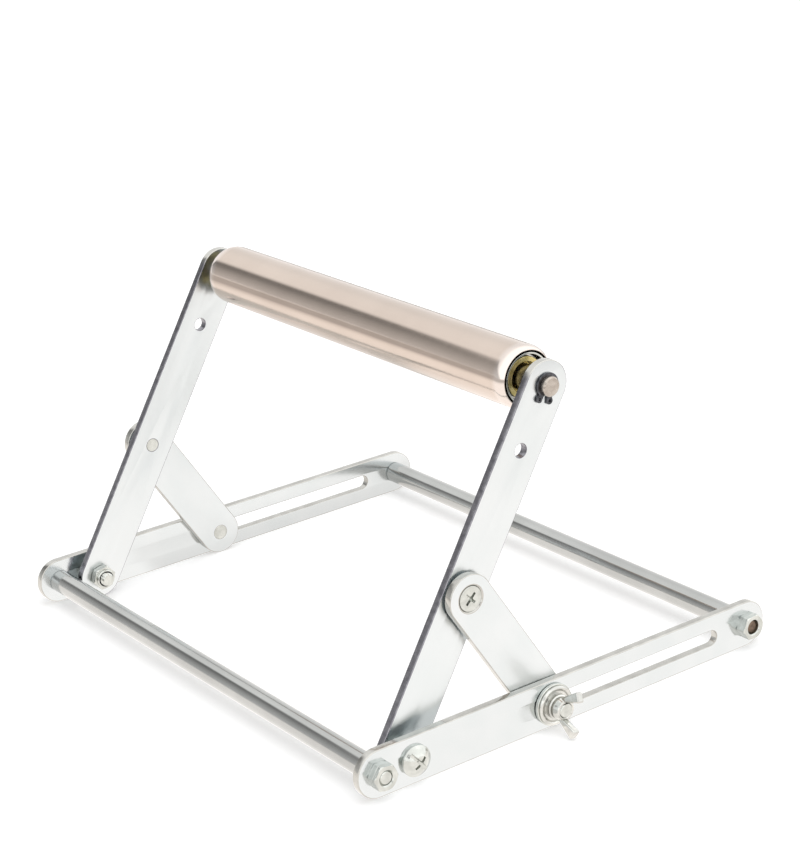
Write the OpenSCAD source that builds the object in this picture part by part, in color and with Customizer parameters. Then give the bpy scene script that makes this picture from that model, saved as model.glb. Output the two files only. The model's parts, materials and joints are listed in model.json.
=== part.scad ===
// Folding bench roller stand: two slotted rails joined by cross rods, two arms that lean back and carry
// a roller on ball bearings, and two braces that are clamped along the rail slots with wing nuts.
// X runs along the roller, Y from the front rod to the rear rod, Z up from the bench.
// The origin is on the bench, midway between the rods and midway between the rails.
// A brace is as long as its own place up the arm, so its stud stays on the slot's centre line.

/* [Rails and cross rods] */
// Width over the outer faces of the two rails
frame_w = 254; // [200:1:400]
// Distance from the front rod's axis to the rear rod's axis
rod_spacing = 190; // [184:1:260]
// Height of the flat bar that rails, arms and braces are cut from
bar_w = 20; // [18:0.5:24]
// Thickness of the flat bar
bar_t = 3.5; // [3:0.25:5]
// Diameter of the cross rods between the rails
rod_d = 10; // [8:0.5:12]
// Distance from the front rod's axis to the slot's rear end centre
slot_rear_at = 170; // [155:1:172]
// Width of the slot in each rail
slot_w = 6.6; // [6.4:0.1:8]

/* [Arms and braces] */
// Distance from the front rod's axis to the arm's lower pivot
pivot_at = 16.5; // [15:0.5:24]
// Length of an arm from its lower pivot to the roller's axis
arm_len = 151; // [145:1:153]
// Length of a brace between its pins, and its place up the arm
brace_len = 64.5; // [55:0.5:68]
// Distance from the roller's axis down the arm to its spare hole
spare_hole_below = 27; // [16:1:60]
// Diameter of the spare hole in each arm
spare_hole_d = 5.8; // [4:0.1:8]
// Lean of the arms from upright as drawn, in degrees
lean = 31.75; // [30.5:0.25:80]
// Steepest lean, where the studs meet the slots' front ends
lean_min = 30; // [20:0.5:30]

/* [Roller and bearings] */
// Outside diameter of the roller tube
roller_d = 26; // [24:0.5:32]
// Wall of the roller tube
roller_wall = 1.7; // [1.2:0.1:2]
// Gap between each end of the roller tube and the arm beside it
roller_gap = 8; // [6:0.5:20]
// Length over which each end of the tube is drawn in
roller_nose_len = 4.5; // [3:0.5:8]
// Diameter of the shaft
shaft_d = 8; // [6:0.5:8]
// How far the shaft stands out of each arm
shaft_out = 3.3; // [2:0.1:3.6]
// Diameter of the bearing balls
ball_d = 3.2; // [2.5:0.1:3.2]
// Balls in each bearing
ball_count = 10; // [8:1:12]
// Wall of the bearing cup outside its ball groove
cup_wall = 1.2; // [1:0.05:1.4]
// Width of the inner race's bright front face
race_face_w = 2.05; // [1.5:0.05:2.1]

/* [Fasteners] */
// Thread diameter of every screw, stud and rod end
thread_d = 6; // [5:0.1:6.2]
// Hexagon nut, flat to flat
nut_af = 10; // [9:0.5:11]
// Thickness of a hexagon nut
nut_h = 4.8; // [3.2:0.1:5.2]
// Diameter of the lower pivot screw's pan head
pan_d = 13; // [11:0.2:14]
// Height of the pan head
pan_h = 4.4; // [3:0.1:5.5]
// Diameter of the brace screw's countersunk head
sink_d = 10.4; // [9:0.2:12]
// Diameter of the clamp washer
clamp_washer_d = 17.6; // [13:0.2:19]
// Thickness of the clamp washer
clamp_washer_t = 1.6; // [1:0.1:2.5]
// Thickness of the washer between brace and arm
pivot_washer_t = 1; // [0.8:0.1:2]

/* [Wing nut] */
// Diameter of the wing nut's flange
flange_d = 16.5; // [12:0.5:17]
// Diameter of the wing nut's barrel
barrel_d = 9.6; // [8:0.2:10]
// Height of the wing nut's barrel above the washer
barrel_h = 6.8; // [5:0.1:8]
// Gap between the bench and a wing that points straight down
wing_clear = 0.4; // [0.2:0.1:1]
// Height of the wings above the washer
wing_h = 14.6; // [10:0.2:16]
// Width of a wing across its squared tip
wing_w = 4.4; // [3:0.1:5]
// Thickness of a wing
wing_t = 3; // [2:0.1:3.2]

/* [Hidden] */
$fn = 72;

// How far a cut runs past the piece it cuts
overrun = 1;
// Gap between flat faces that slide on each other
slide_gap = 0.25;
// Radial clearance of a hole that turns on a pin
run_fit = 0.06;
// Radial clearance of a hole on a piece fixed in it
fixed_fit = 0.02;
// Radial clearance of a hole round a rod end
hole_fit = 0.1;
// Gap between a seated piece and its neighbour
seat_gap = 0.05;

// Radii
bar_r = bar_w / 2;
rod_r = rod_d / 2;
thread_r = thread_d / 2;
shaft_r = shaft_d / 2;
roller_r = roller_d / 2;
tube_r = roller_r - roller_wall;

// Places along X of the right side's faces, from the rail inwards
rail_out = frame_w / 2;
rail_in = rail_out - bar_t;
brace_out = rail_in - slide_gap;
brace_in = brace_out - bar_t;
arm_out = brace_in - pivot_washer_t - slide_gap;
arm_in = arm_out - bar_t;
roller_end = arm_in - roller_gap;
shaft_end = arm_out + shaft_out;

// Places in the YZ plane
front_y = -rod_spacing / 2;
rear_y = rod_spacing / 2;
axis_z = bar_r;
pivot_y = front_y + pivot_at;
slot_rear_y = front_y + slot_rear_at;
slot_front_y = pivot_y + 2 * brace_len * sin(lean_min);
shaft_y = pivot_y + arm_len * sin(lean);
shaft_z = axis_z + arm_len * cos(lean);
brace_y = pivot_y + brace_len * sin(lean);
brace_z = axis_z + brace_len * cos(lean);
stud_y = pivot_y + 2 * brace_len * sin(lean);

// Rods and their nuts; the rear rod's ends stay inside their nuts
front_end_out = 4.5;
rear_end_out = 3.4;
rod_chamfer = 0.5;
thread_chamfer = 0.5;
nut_chamfer = 0.7;
nut_face_inset = 0.4;
front_nut_turn = 24;
rear_nut_turn = 34;

// Pivot screw
pivot_tail = 2;
pivot_nut_turn = 40;
spacer_wall = 2;
pan_rim = 1.9;
pan_edge = 0.5;
recess_w = 1.1;
recess_len = 6;
recess_depth = 2;
pan_turn = 39;
pan_slot_w = 1.4;
pan_slot_depth = 1.8;

// Brace screw and its washer
brace_screw_turn = 44;
sink_clear = 0.12;
sink_inset = 0.1;
sink_edge = 0.3;
sink_r = sink_d / 2 + sink_edge + sink_inset + sink_clear;
brace_washer_d = 13;

// Clamp stud
stud_head_step = 0.5;
stud_head_r = thread_r + stud_head_step;
stud_out = 7.15;

// Circlip and its groove
clip_t = 0.8;
clip_inset = 0.1;
clip_band = 1.35;
clip_fit = 0.05;
clip_lug_r = 1.5;
clip_lug_out = 2.4;
clip_lug_angle = 24;
clip_hole_r = 0.6;
clip_gap_angle = 12;
clip_turn = 11.5;
groove_depth = 0.2;
groove_spare = 0.05;
shaft_chamfer = 0.6;

// Lip left at the roller tube's drawn-in ends
nose_lip = 0.25;

// Bearings, from the ball groove outwards
ball_r = ball_d / 2;
ball_fit = 0.05;
groove_h = 0.8;
pitch_r = tube_r - cup_wall - ball_fit - ball_r;
ball_inset = 5.4;
ball_x = roller_end - ball_inset;
cup_outer_r = tube_r - fixed_fit;
cup_bore_r = pitch_r + ball_r + ball_fit - groove_h;
cup_in_x = ball_x - ball_r - cup_wall;
cup_body_x = ball_x + ball_r + seat_gap;
rim_wall = 0.55;
rim_inset = 0.9;
rim_r = tube_r - rim_inset;
rim_edge = 0.15;
race_outer_r = pitch_r - ball_r - ball_fit + groove_h;
race_flange_r = cup_bore_r - groove_h;
race_mouth_r = race_flange_r - race_face_w;
race_inset = 1.45;
race_face_x = roller_end - race_inset;
race_floor_x = ball_x;
race_in_x = cup_in_x;
race_lip = 1;
cage_r0 = race_outer_r + slide_gap;
cage_r1 = cup_bore_r - slide_gap;
pocket_fit = 0.08;
cage_web = 0.45;
cage_half = ball_r + pocket_fit + cage_web;
sleeve_wall = 1.4;

// Wing nut
flange_edge = 0.9;
dish_depth = 0.5;
wing_root_h = 2;
wing_turn = 13;
wing_splay = 30;
wing_corner_r = 0.8;
wing_reach = axis_z - wing_clear;

// Colours
plate_colour = [0.86, 0.88, 0.89];
rod_colour = [0.70, 0.71, 0.71];
roller_colour = [0.83, 0.75, 0.69];
yellow_colour = [0.80, 0.68, 0.36];
black_colour = [0.08, 0.08, 0.09];
steel_colour = [0.62, 0.60, 0.58];

// Circle arc as points from angle a0 to a1
function arc(cx, cy, r, a0, a1, steps) = [
  for (i = [0 : steps]) let (a = a0 + (a1 - a0) * i / steps) [cx + r * cos(a), cy + r * sin(a)]
];

// Turns a profile of [radius, x] points round an axis along X through y, z
module lathe(y, z, points) {
  translate([0, y, z]) rotate([0, 90, 0]) rotate_extrude() polygon(points);
}

// Round bar along X from x0 to x1 through y, z
module round_bar(x0, x1, r, y, z) {
  translate([x0, y, z]) rotate([0, 90, 0]) cylinder(h = x1 - x0, r = r);
}

// Flat piece drawn in Y and Z, thick along X from x0 to x1
module plate(x0, x1) {
  translate([x0, 0, 0]) rotate([90, 0, 90]) linear_extrude(x1 - x0) children();
}

// Outline of a flat bar with round ends from one point towards an angle above +Y
module bar_outline(y, z, len, angle) {
  translate([y, z]) rotate(angle) {
    circle(r = bar_r);
    translate([len, 0]) circle(r = bar_r);
    translate([0, -bar_r]) square([len, bar_w]);
  }
}

// Hexagon nut with both faces chamfered, seated at x0
module hex_nut(x0, y, z, turn) {
  corner_r = nut_af / 2 / cos(30);
  face_r = corner_r - nut_chamfer;
  clear_r = corner_r + overrun;
  rise = nut_face_inset * (clear_r - face_r) / nut_chamfer;
  difference() {
    intersection() {
      translate([x0, y, z]) rotate([turn, 0, 0]) rotate([0, 90, 0])
        cylinder(h = nut_h, r = corner_r, $fn = 6);
      lathe(y, z, [
        [0, x0], [face_r, x0], [clear_r, x0 + rise],
        [clear_r, x0 + nut_h - rise], [face_r, x0 + nut_h], [0, x0 + nut_h]
      ]);
    }
    round_bar(x0 - overrun, x0 + nut_h + overrun, thread_r + fixed_fit, y, z);
  }
}

// Cross recess sunk from the face at x towards -X
module cross_recess(x, y, z, turn) {
  translate([x - recess_depth / 2 + overrun / 2, y, z]) rotate([turn, 0, 0]) {
    cube([recess_depth + overrun, recess_len, recess_w], center = true);
    cube([recess_depth + overrun, recess_w, recess_len], center = true);
  }
}

// Flat ring along X
module ring(x0, x1, r_out, r_in, y, z) {
  difference() {
    round_bar(x0, x1, r_out, y, z);
    round_bar(x0 - overrun, x1 + overrun, r_in, y, z);
  }
}

// Rail: bar on edge with two rod holes, the pivot hole and the clamp slot
module rail() {
  color(plate_colour) plate(rail_in, rail_out) difference() {
    bar_outline(front_y, axis_z, rod_spacing, 0);
    for (y = [front_y, rear_y]) translate([y, axis_z]) circle(r = thread_r + hole_fit);
    translate([pivot_y, axis_z]) circle(r = thread_r + fixed_fit);
    for (y = [slot_front_y, slot_rear_y]) translate([y, axis_z]) circle(r = slot_w / 2);
    translate([slot_front_y, axis_z - slot_w / 2]) square([slot_rear_y - slot_front_y, slot_w]);
  }
}

// Cross rod: full diameter between the rails, turned down to the thread through them
module cross_rod(y, end_out) {
  tip = rail_out + end_out;
  color(rod_colour) lathe(y, axis_z, [
    [0, -tip], [thread_r - thread_chamfer, -tip], [thread_r, -tip + thread_chamfer],
    [thread_r, -rail_in], [rod_r - rod_chamfer, -rail_in], [rod_r, -rail_in + rod_chamfer],
    [rod_r, rail_in - rod_chamfer], [rod_r - rod_chamfer, rail_in], [thread_r, rail_in],
    [thread_r, tip - thread_chamfer], [thread_r - thread_chamfer, tip], [0, tip]
  ]);
}

// Nut outside the rail on a rod end
module rod_nut(y, turn) {
  color(plate_colour) hex_nut(rail_out, y, axis_z, turn);
}

// Lower pivot: pan-head screw with a cross and a slot across its head, through rail, spacer and arm
module pivot_screw() {
  tail = arm_in - slide_gap - nut_h - pivot_tail;
  crown_r = (pow(pan_d / 2 - pan_edge, 2) + pow(pan_h - pan_rim, 2)) / 2 / (pan_h - pan_rim);
  crown_angle = asin((pan_d / 2 - pan_edge) / crown_r);
  head = concat(
    [[pan_d / 2, rail_out], [pan_d / 2, rail_out + pan_rim - pan_edge]],
    [for (p = arc(0, rail_out + pan_h - crown_r, crown_r, 90 - crown_angle, 90, 8)) p]
  );
  color(plate_colour) difference() {
    lathe(pivot_y, axis_z, concat(
      [[0, tail], [thread_r - thread_chamfer, tail]],
      [[thread_r, tail + thread_chamfer], [thread_r, rail_out]],
      head
    ));
    cross_recess(rail_out + pan_h, pivot_y, axis_z, pan_turn);
    translate([rail_out + pan_h - pan_slot_depth, pivot_y, axis_z]) rotate([pan_turn, 0, 0])
      translate([0, -pan_slot_w / 2, -pan_d / 2 - overrun])
        cube([pan_slot_depth + overrun, pan_slot_w, pan_d + 2 * overrun]);
  }
}

// Spacer that fills the brace's gap between rail and arm on the lower pivot
module pivot_spacer() {
  color(plate_colour)
    ring(arm_out + slide_gap, rail_in, thread_r + spacer_wall, thread_r + fixed_fit, pivot_y, axis_z);
}

// Nut on the inner end of the pivot screw, that leaves the arm free to turn
module pivot_nut() {
  color(plate_colour) hex_nut(arm_in - slide_gap - nut_h, pivot_y, axis_z, pivot_nut_turn);
}

// Roller arm: bar that leans back from the pivot to the shaft
module arm() {
  color(plate_colour) plate(arm_in, arm_out) difference() {
    bar_outline(pivot_y, axis_z, arm_len, 90 - lean);
    translate([pivot_y, axis_z]) circle(r = thread_r + run_fit);
    translate([brace_y, brace_z]) circle(r = thread_r + fixed_fit);
    translate([pivot_y, axis_z]) rotate(90 - lean)
      translate([arm_len - spare_hole_below, 0]) circle(d = spare_hole_d);
    translate([shaft_y, shaft_z]) circle(r = shaft_r + fixed_fit);
  }
}

// Fixed shaft with a groove for the circlip outside each arm
module shaft() {
  g0 = arm_out + clip_inset - groove_spare;
  g1 = arm_out + clip_inset + clip_t + groove_spare;
  gr = shaft_r - groove_depth;
  half = [
    [shaft_r, g0], [gr, g0], [gr, g1], [shaft_r, g1],
    [shaft_r, shaft_end - shaft_chamfer], [shaft_r - shaft_chamfer, shaft_end], [0, shaft_end]
  ];
  color(steel_colour) lathe(shaft_y, shaft_z, concat(
    [for (i = [len(half) - 1 : -1 : 0]) [half[i][0], -half[i][1]]], half
  ));
}

// Circlip: open ring in the shaft's groove with two eyed lugs that point down beside the arm
module circlip() {
  x = arm_out + clip_inset;
  inner_r = shaft_r - groove_depth + clip_fit;
  lug_r0 = inner_r + clip_lug_out;
  turn = clip_turn - 90 - lean;
  color(black_colour) plate(x, x + clip_t) translate([shaft_y, shaft_z]) rotate(turn) difference() {
    union() {
      circle(r = inner_r + clip_band);
      for (s = [-1, 1]) rotate(s * clip_lug_angle) translate([lug_r0, 0]) circle(r = clip_lug_r);
    }
    circle(r = inner_r);
    polygon([
      [0, 0],
      for (s = [-1, 1]) (lug_r0 + 2 * clip_lug_r) * [cos(s * clip_gap_angle), sin(s * clip_gap_angle)]
    ]);
    for (s = [-1, 1]) rotate(s * clip_lug_angle) translate([lug_r0, 0]) circle(r = clip_hole_r);
  }
}

// Sleeve on the shaft that holds the arm off the bearing
module sleeve() {
  color(black_colour)
    ring(race_floor_x, arm_in, shaft_r + sleeve_wall, shaft_r + fixed_fit, shaft_y, shaft_z);
}

// Inner race: pressed cone on the shaft with a ball groove and a wide open mouth
module inner_race() {
  bore = shaft_r + fixed_fit;
  flange_x = race_face_x - race_lip;
  color(yellow_colour) difference() {
    lathe(shaft_y, shaft_z, [
      [bore, race_in_x], [race_outer_r, race_in_x], [race_outer_r, flange_x], [race_flange_r, flange_x],
      [race_flange_r, race_face_x], [race_mouth_r, race_face_x],
      [race_mouth_r, race_floor_x], [bore, race_floor_x]
    ]);
    ball_groove();
  }
}

// Ring-shaped cut that the balls run in
module ball_groove() {
  translate([ball_x, shaft_y, shaft_z]) rotate([0, 90, 0]) rotate_extrude()
    translate([pitch_r, 0]) circle(r = ball_r + ball_fit);
}

// Bearing cup pressed in the tube, with a thin rim at the tube's end
module bearing_cup() {
  color(plate_colour) difference() {
    lathe(shaft_y, shaft_z, [
      [cup_bore_r, cup_in_x], [cup_outer_r, cup_in_x], [cup_outer_r, cup_body_x + rim_wall],
      [rim_r, cup_body_x + rim_wall], [rim_r, roller_end - rim_edge], [rim_r - rim_edge, roller_end],
      [rim_r - rim_wall, roller_end], [rim_r - rim_wall, cup_body_x], [cup_bore_r, cup_body_x]
    ]);
    ball_groove();
  }
}

// One bearing's balls, evenly spaced
module ball_set() {
  color(steel_colour) for (i = [0 : ball_count - 1])
    translate([ball_x, shaft_y, shaft_z]) rotate([360 * i / ball_count, 0, 0])
      translate([0, pitch_r, 0]) sphere(r = ball_r);
}

// Cage that keeps one bearing's balls apart
module ball_cage() {
  color(steel_colour) difference() {
    ring(ball_x - cage_half, ball_x + cage_half, cage_r1, cage_r0, shaft_y, shaft_z);
    for (i = [0 : ball_count - 1])
      translate([ball_x, shaft_y, shaft_z]) rotate([360 * i / ball_count, 0, 0]) rotate([-90, 0, 0])
        translate([0, 0, cage_r0 - overrun])
          cylinder(h = cage_r1 - cage_r0 + 2 * overrun, r = ball_r + pocket_fit);
  }
}

// Roller tube with both ends drawn in to a thin lip
module tube() {
  drop = roller_wall - nose_lip;
  nose_r = (pow(roller_nose_len, 2) + pow(drop, 2)) / 2 / drop;
  nose_angle = asin(roller_nose_len / nose_r);
  nose = arc(roller_r - nose_r, roller_end - roller_nose_len, nose_r, 0, nose_angle, 8);
  half = concat(nose, [[tube_r, roller_end]]);
  color(roller_colour) lathe(shaft_y, shaft_z, concat(
    [for (i = [len(half) - 1 : -1 : 0]) [half[i][0], -half[i][1]]], half
  ));
}

// Brace: short bar from the arm down to the clamp stud, with a countersink in its outer face
module brace() {
  bore = thread_r + run_fit;
  color(plate_colour) difference() {
    plate(brace_in, brace_out) difference() {
      bar_outline(brace_y, brace_z, brace_len, lean - 90);
      translate([brace_y, brace_z]) circle(r = bore);
      translate([stud_y, axis_z]) circle(r = stud_head_r + fixed_fit);
    }
    lathe(brace_y, brace_z, [
      [0, brace_out - sink_r + bore], [bore, brace_out - sink_r + bore], [sink_r, brace_out],
      [sink_r, brace_out + overrun], [0, brace_out + overrun]
    ]);
  }
}

// Countersunk screw that the brace turns on, threaded into the arm
module brace_screw() {
  face = brace_out - sink_inset;
  head_r = sink_d / 2;
  color(plate_colour) difference() {
    lathe(brace_y, brace_z, [
      [0, arm_in], [thread_r, arm_in], [thread_r, face - sink_edge - head_r + thread_r],
      [head_r, face - sink_edge], [head_r, face], [0, face]
    ]);
    cross_recess(face, brace_y, brace_z, brace_screw_turn);
  }
}

// Washer between brace and arm
module brace_washer() {
  color(plate_colour)
    ring(brace_in - pivot_washer_t, brace_in, brace_washer_d / 2, thread_r + run_fit, brace_y, brace_z);
}

// Stud riveted flush in the brace, through the rail's slot
module clamp_stud() {
  tip = rail_out + slide_gap + clamp_washer_t + stud_out;
  color(plate_colour) lathe(stud_y, axis_z, [
    [0, brace_in], [stud_head_r, brace_in], [stud_head_r, brace_out], [thread_r, brace_out],
    [thread_r, tip - thread_chamfer], [thread_r - thread_chamfer, tip], [0, tip]
  ]);
}

// Washer under the wing nut
module clamp_washer() {
  x = rail_out + slide_gap;
  color(plate_colour) ring(x, x + clamp_washer_t, clamp_washer_d / 2, thread_r + run_fit, stud_y, axis_z);
}

// One wing as an outline of [height, radius] points: a root on the barrel and a squared tip
module wing_outline() {
  half = wing_w / 2 - wing_corner_r;
  mid = [
    wing_h - wing_corner_r - half * sin(wing_splay),
    wing_reach - wing_corner_r - half * cos(wing_splay)
  ];
  side = half * [sin(wing_splay), -cos(wing_splay)];
  root_r = (barrel_d - wing_t) / 2;
  inner = mid - side;
  outer = mid + side;
  polygon(concat(
    [[wing_root_h, root_r]],
    arc(inner[0], inner[1], wing_corner_r, wing_splay + 90, wing_splay, 6),
    arc(outer[0], outer[1], wing_corner_r, wing_splay, wing_splay - 90, 6),
    [[barrel_h, root_r]]
  ));
}

// Wing nut: dished flange, barrel and two upswept wings
module wing_nut() {
  x0 = rail_out + slide_gap + clamp_washer_t + seat_gap;
  flange_r = flange_d / 2;
  barrel_r = barrel_d / 2;
  color(plate_colour) difference() {
    union() {
      lathe(stud_y, axis_z, [
        [0, x0], [flange_r, x0], [flange_r, x0 + flange_edge],
        [flange_r - flange_edge, x0 + flange_edge + dish_depth],
        [flange_r - 2 * flange_edge, x0 + flange_edge], [barrel_r + dish_depth, x0 + flange_edge],
        [barrel_r, x0 + flange_edge + dish_depth], [barrel_r, x0 + barrel_h], [0, x0 + barrel_h]
      ]);
      for (s = [90, 270]) translate([x0, stud_y, axis_z]) rotate([s - wing_turn, 0, 0])
        translate([0, 0, -wing_t / 2]) linear_extrude(wing_t) wing_outline();
    }
    round_bar(x0 - overrun, x0 + barrel_h + overrun, thread_r + run_fit, stud_y, axis_z);
  }
}

// The left side's pieces are the right side's, mirrored
module left() {
  mirror([1, 0, 0]) children();
}

module right_rail() { rail(); }
module left_rail() { left() rail(); }
module front_rod() { cross_rod(front_y, front_end_out); }
module rear_rod() { cross_rod(rear_y, rear_end_out); }
module front_right_nut() { rod_nut(front_y, front_nut_turn); }
module front_left_nut() { left() rod_nut(front_y, front_nut_turn); }
module rear_right_nut() { rod_nut(rear_y, rear_nut_turn); }
module rear_left_nut() { left() rod_nut(rear_y, rear_nut_turn); }
module right_pivot_screw() { pivot_screw(); }
module left_pivot_screw() { left() pivot_screw(); }
module right_pivot_spacer() { pivot_spacer(); }
module left_pivot_spacer() { left() pivot_spacer(); }
module right_pivot_nut() { pivot_nut(); }
module left_pivot_nut() { left() pivot_nut(); }
module right_arm() { arm(); }
module left_arm() { left() arm(); }
module roller_shaft() { shaft(); }
module right_circlip() { circlip(); }
module left_circlip() { left() circlip(); }
module right_sleeve() { sleeve(); }
module left_sleeve() { left() sleeve(); }
module right_inner_race() { inner_race(); }
module left_inner_race() { left() inner_race(); }
module right_brace_screw() { brace_screw(); }
module left_brace_screw() { left() brace_screw(); }
module right_brace() { brace(); }
module left_brace() { left() brace(); }
module right_brace_washer() { brace_washer(); }
module left_brace_washer() { left() brace_washer(); }
module right_clamp_stud() { clamp_stud(); }
module left_clamp_stud() { left() clamp_stud(); }
module right_clamp_washer() { clamp_washer(); }
module left_clamp_washer() { left() clamp_washer(); }
module right_wing_nut() { wing_nut(); }
module left_wing_nut() { left() wing_nut(); }
module roller_tube() { tube(); }
module right_bearing_cup() { bearing_cup(); }
module left_bearing_cup() { left() bearing_cup(); }
module right_ball_set() { ball_set(); }
module left_ball_set() { left() ball_set(); }
module right_ball_cage() { ball_cage(); }
module left_ball_cage() { left() ball_cage(); }

right_rail();
left_rail();
front_rod();
rear_rod();
front_right_nut();
front_left_nut();
rear_right_nut();
rear_left_nut();
right_pivot_screw();
left_pivot_screw();
right_pivot_spacer();
left_pivot_spacer();
right_pivot_nut();
left_pivot_nut();
right_arm();
left_arm();
roller_shaft();
right_circlip();
left_circlip();
right_sleeve();
left_sleeve();
right_inner_race();
left_inner_race();
right_brace_screw();
left_brace_screw();
right_brace();
left_brace();
right_brace_washer();
left_brace_washer();
right_clamp_stud();
left_clamp_stud();
right_clamp_washer();
left_clamp_washer();
right_wing_nut();
left_wing_nut();
roller_tube();
right_bearing_cup();
left_bearing_cup();
right_ball_set();
left_ball_set();
right_ball_cage();
left_ball_cage();
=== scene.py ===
"""Folding bench roller stand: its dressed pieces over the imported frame, with studio and camera.

Every piece is a surface worked out with numpy in millimetres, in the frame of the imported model, and stands
for the CAD node of the same place. X runs along the roller, Y from the front rod to the rear rod, Z up from
the bench.
"""

import json
import logging
from collections.abc import Callable, Sequence
from dataclasses import dataclass, field
from enum import Enum

import bmesh
import bpy
import numpy as np
from mathutils import Matrix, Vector
from mathutils.geometry import tessellate_polygon

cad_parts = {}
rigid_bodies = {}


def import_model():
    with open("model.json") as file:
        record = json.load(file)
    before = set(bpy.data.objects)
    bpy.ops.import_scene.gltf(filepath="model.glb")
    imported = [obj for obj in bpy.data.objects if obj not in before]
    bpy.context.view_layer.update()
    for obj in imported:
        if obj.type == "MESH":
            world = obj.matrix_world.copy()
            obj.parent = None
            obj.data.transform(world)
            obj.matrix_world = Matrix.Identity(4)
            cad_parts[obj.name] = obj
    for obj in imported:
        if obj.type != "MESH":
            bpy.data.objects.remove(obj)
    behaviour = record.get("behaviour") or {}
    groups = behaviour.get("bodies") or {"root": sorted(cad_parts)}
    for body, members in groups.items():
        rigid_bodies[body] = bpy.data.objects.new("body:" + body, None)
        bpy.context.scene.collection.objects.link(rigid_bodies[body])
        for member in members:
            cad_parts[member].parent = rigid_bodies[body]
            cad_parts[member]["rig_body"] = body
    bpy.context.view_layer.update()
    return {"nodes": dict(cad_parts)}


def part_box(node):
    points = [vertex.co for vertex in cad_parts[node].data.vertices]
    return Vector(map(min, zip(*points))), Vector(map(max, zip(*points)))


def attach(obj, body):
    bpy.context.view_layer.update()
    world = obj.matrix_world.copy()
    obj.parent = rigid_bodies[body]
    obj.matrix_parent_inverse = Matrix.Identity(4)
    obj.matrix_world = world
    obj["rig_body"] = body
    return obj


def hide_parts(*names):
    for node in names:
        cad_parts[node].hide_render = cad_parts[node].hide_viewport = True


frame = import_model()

LOG = logging.getLogger("roller_stand")

MM = 0.001
# Points closer than this are merged, and edges sharper than this angle are shaded as edges
MERGE_MM = 0.0005
SHARP_DEG = 38.0
# A profile's side longer than the second gets a point at the first from each end
SUPPORT_MM = 0.04
LONG_MM = 0.24
# Clearance of a piece pressed or threaded on another
FIT = 0.02

Pair = tuple[float, float]
Triple = tuple[float, float, float]
Stops = tuple[tuple[float, float], ...]


class Side(Enum):
    """Side of the stand that a piece belongs to, as the sign of its X."""

    RIGHT = 1
    LEFT = -1


@dataclass(frozen=True)
class Layout:
    """Sizes and places that the pieces share, in millimetres, as in the CAD model. A point is its y and z."""

    rail_out: float = 127.0
    rail_in: float = 123.5
    brace_out: float = 123.25
    brace_in: float = 119.75
    arm_out: float = 118.5
    arm_in: float = 115.0
    roller_end: float = 107.0
    bar_r: float = 10.0
    axis_z: float = 10.0
    front_y: float = -95.0
    rear_y: float = 95.0
    pivot_y: float = -78.5
    slot_rear_y: float = 75.0
    lean_deg: float = 31.75
    least_lean_deg: float = 30.0
    arm_len: float = 151.0
    spare_at: float = 124.0
    brace_len: float = 64.5
    thread_r: float = 3.0
    shaft_r: float = 4.0

    def low(self, y: float) -> Pair:
        """Point at y on the rails' centre line."""
        return y, self.axis_z

    def up_arm(self, distance: float) -> Pair:
        """Point on the arms' centre line: from the pivot, the distance times the lean's sine and cosine."""
        lean = np.radians(self.lean_deg)
        return float(self.pivot_y + distance * np.sin(lean)), float(self.axis_z + distance * np.cos(lean))

    def in_slot(self, lean_deg: float) -> Pair:
        """Place of the stud at a lean: the arm up to the brace screw and the brace are two equal legs."""
        return self.low(float(self.pivot_y + 2 * self.brace_len * np.sin(np.radians(lean_deg))))


PLACE = Layout()
PIVOT, FRONT = PLACE.low(PLACE.pivot_y), PLACE.low(PLACE.front_y)
REAR, SLOT_REAR = PLACE.low(PLACE.rear_y), PLACE.low(PLACE.slot_rear_y)
SHAFT, HINGE, SPARE = map(PLACE.up_arm, (PLACE.arm_len, PLACE.brace_len, PLACE.spare_at))
STUD, SLOT_FRONT = map(PLACE.in_slot, (PLACE.lean_deg, PLACE.least_lean_deg))


def linear(code: str) -> tuple[float, ...]:
    """Turns an sRGB hex colour to linear light.

    Args:
        code: Colour as #rrggbb.

    Returns:
        Red, green, blue and a full alpha.
    """
    parts = np.array([int(code[i : i + 2], 16) for i in (1, 3, 5)]) / 255
    lit = np.where(parts <= 0.04045, parts / 12.92, ((parts + 0.055) / 1.055) ** 2.4)
    return (*lit.tolist(), 1.0)


def per(size_mm: float) -> float:
    """Noise scale whose features are about size_mm across, on coordinates in metres."""
    return 1 / (size_mm * MM)


def ring_faces(rows: int, cols: int, closed: bool = False) -> np.ndarray:
    """Numbers the quads of a grid of points whose columns run round a closed loop.

    Quad (i, j) joins rows i and i + 1 over columns j and j + 1, and the last column meets the first.

    Args:
        rows: Rows of points.
        cols: Points in a row.
        closed: Whether the last row meets the first.

    Returns:
        Four point numbers for each quad.
    """
    i, j = np.meshgrid(np.arange(rows if closed else rows - 1), np.arange(cols), indexing="ij")
    k, m = (i + 1) % rows, (j + 1) % cols
    return np.stack([i * cols + j, i * cols + m, k * cols + m, k * cols + j], axis=-1).reshape(-1, 4)


def turn_angles(cols: int) -> np.ndarray:
    """Evenly spaced angles round one turn, from +Y towards +Z."""
    return np.arange(cols) * 2 * np.pi / cols


def around(axis: Pair, radius: np.ndarray | float, angle: np.ndarray | float) -> np.ndarray:
    """Points (y + r cos a, z + r sin a) round an axis along X."""
    return np.stack([axis[0] + radius * np.cos(angle), axis[1] + radius * np.sin(angle)], axis=-1)


def spread(rows: np.ndarray, cols: int) -> np.ndarray:
    """Grid that repeats rows of (radius, x) over its columns."""
    return np.repeat(rows[:, None], cols, axis=1)


def both_ends(half: Sequence[Triple]) -> list[Triple]:
    """Corners from the left end to the right, mirrored from those of the right half."""
    return [(radius, -x, rounding) for radius, x, rounding in reversed(half)] + list(half)


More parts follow.
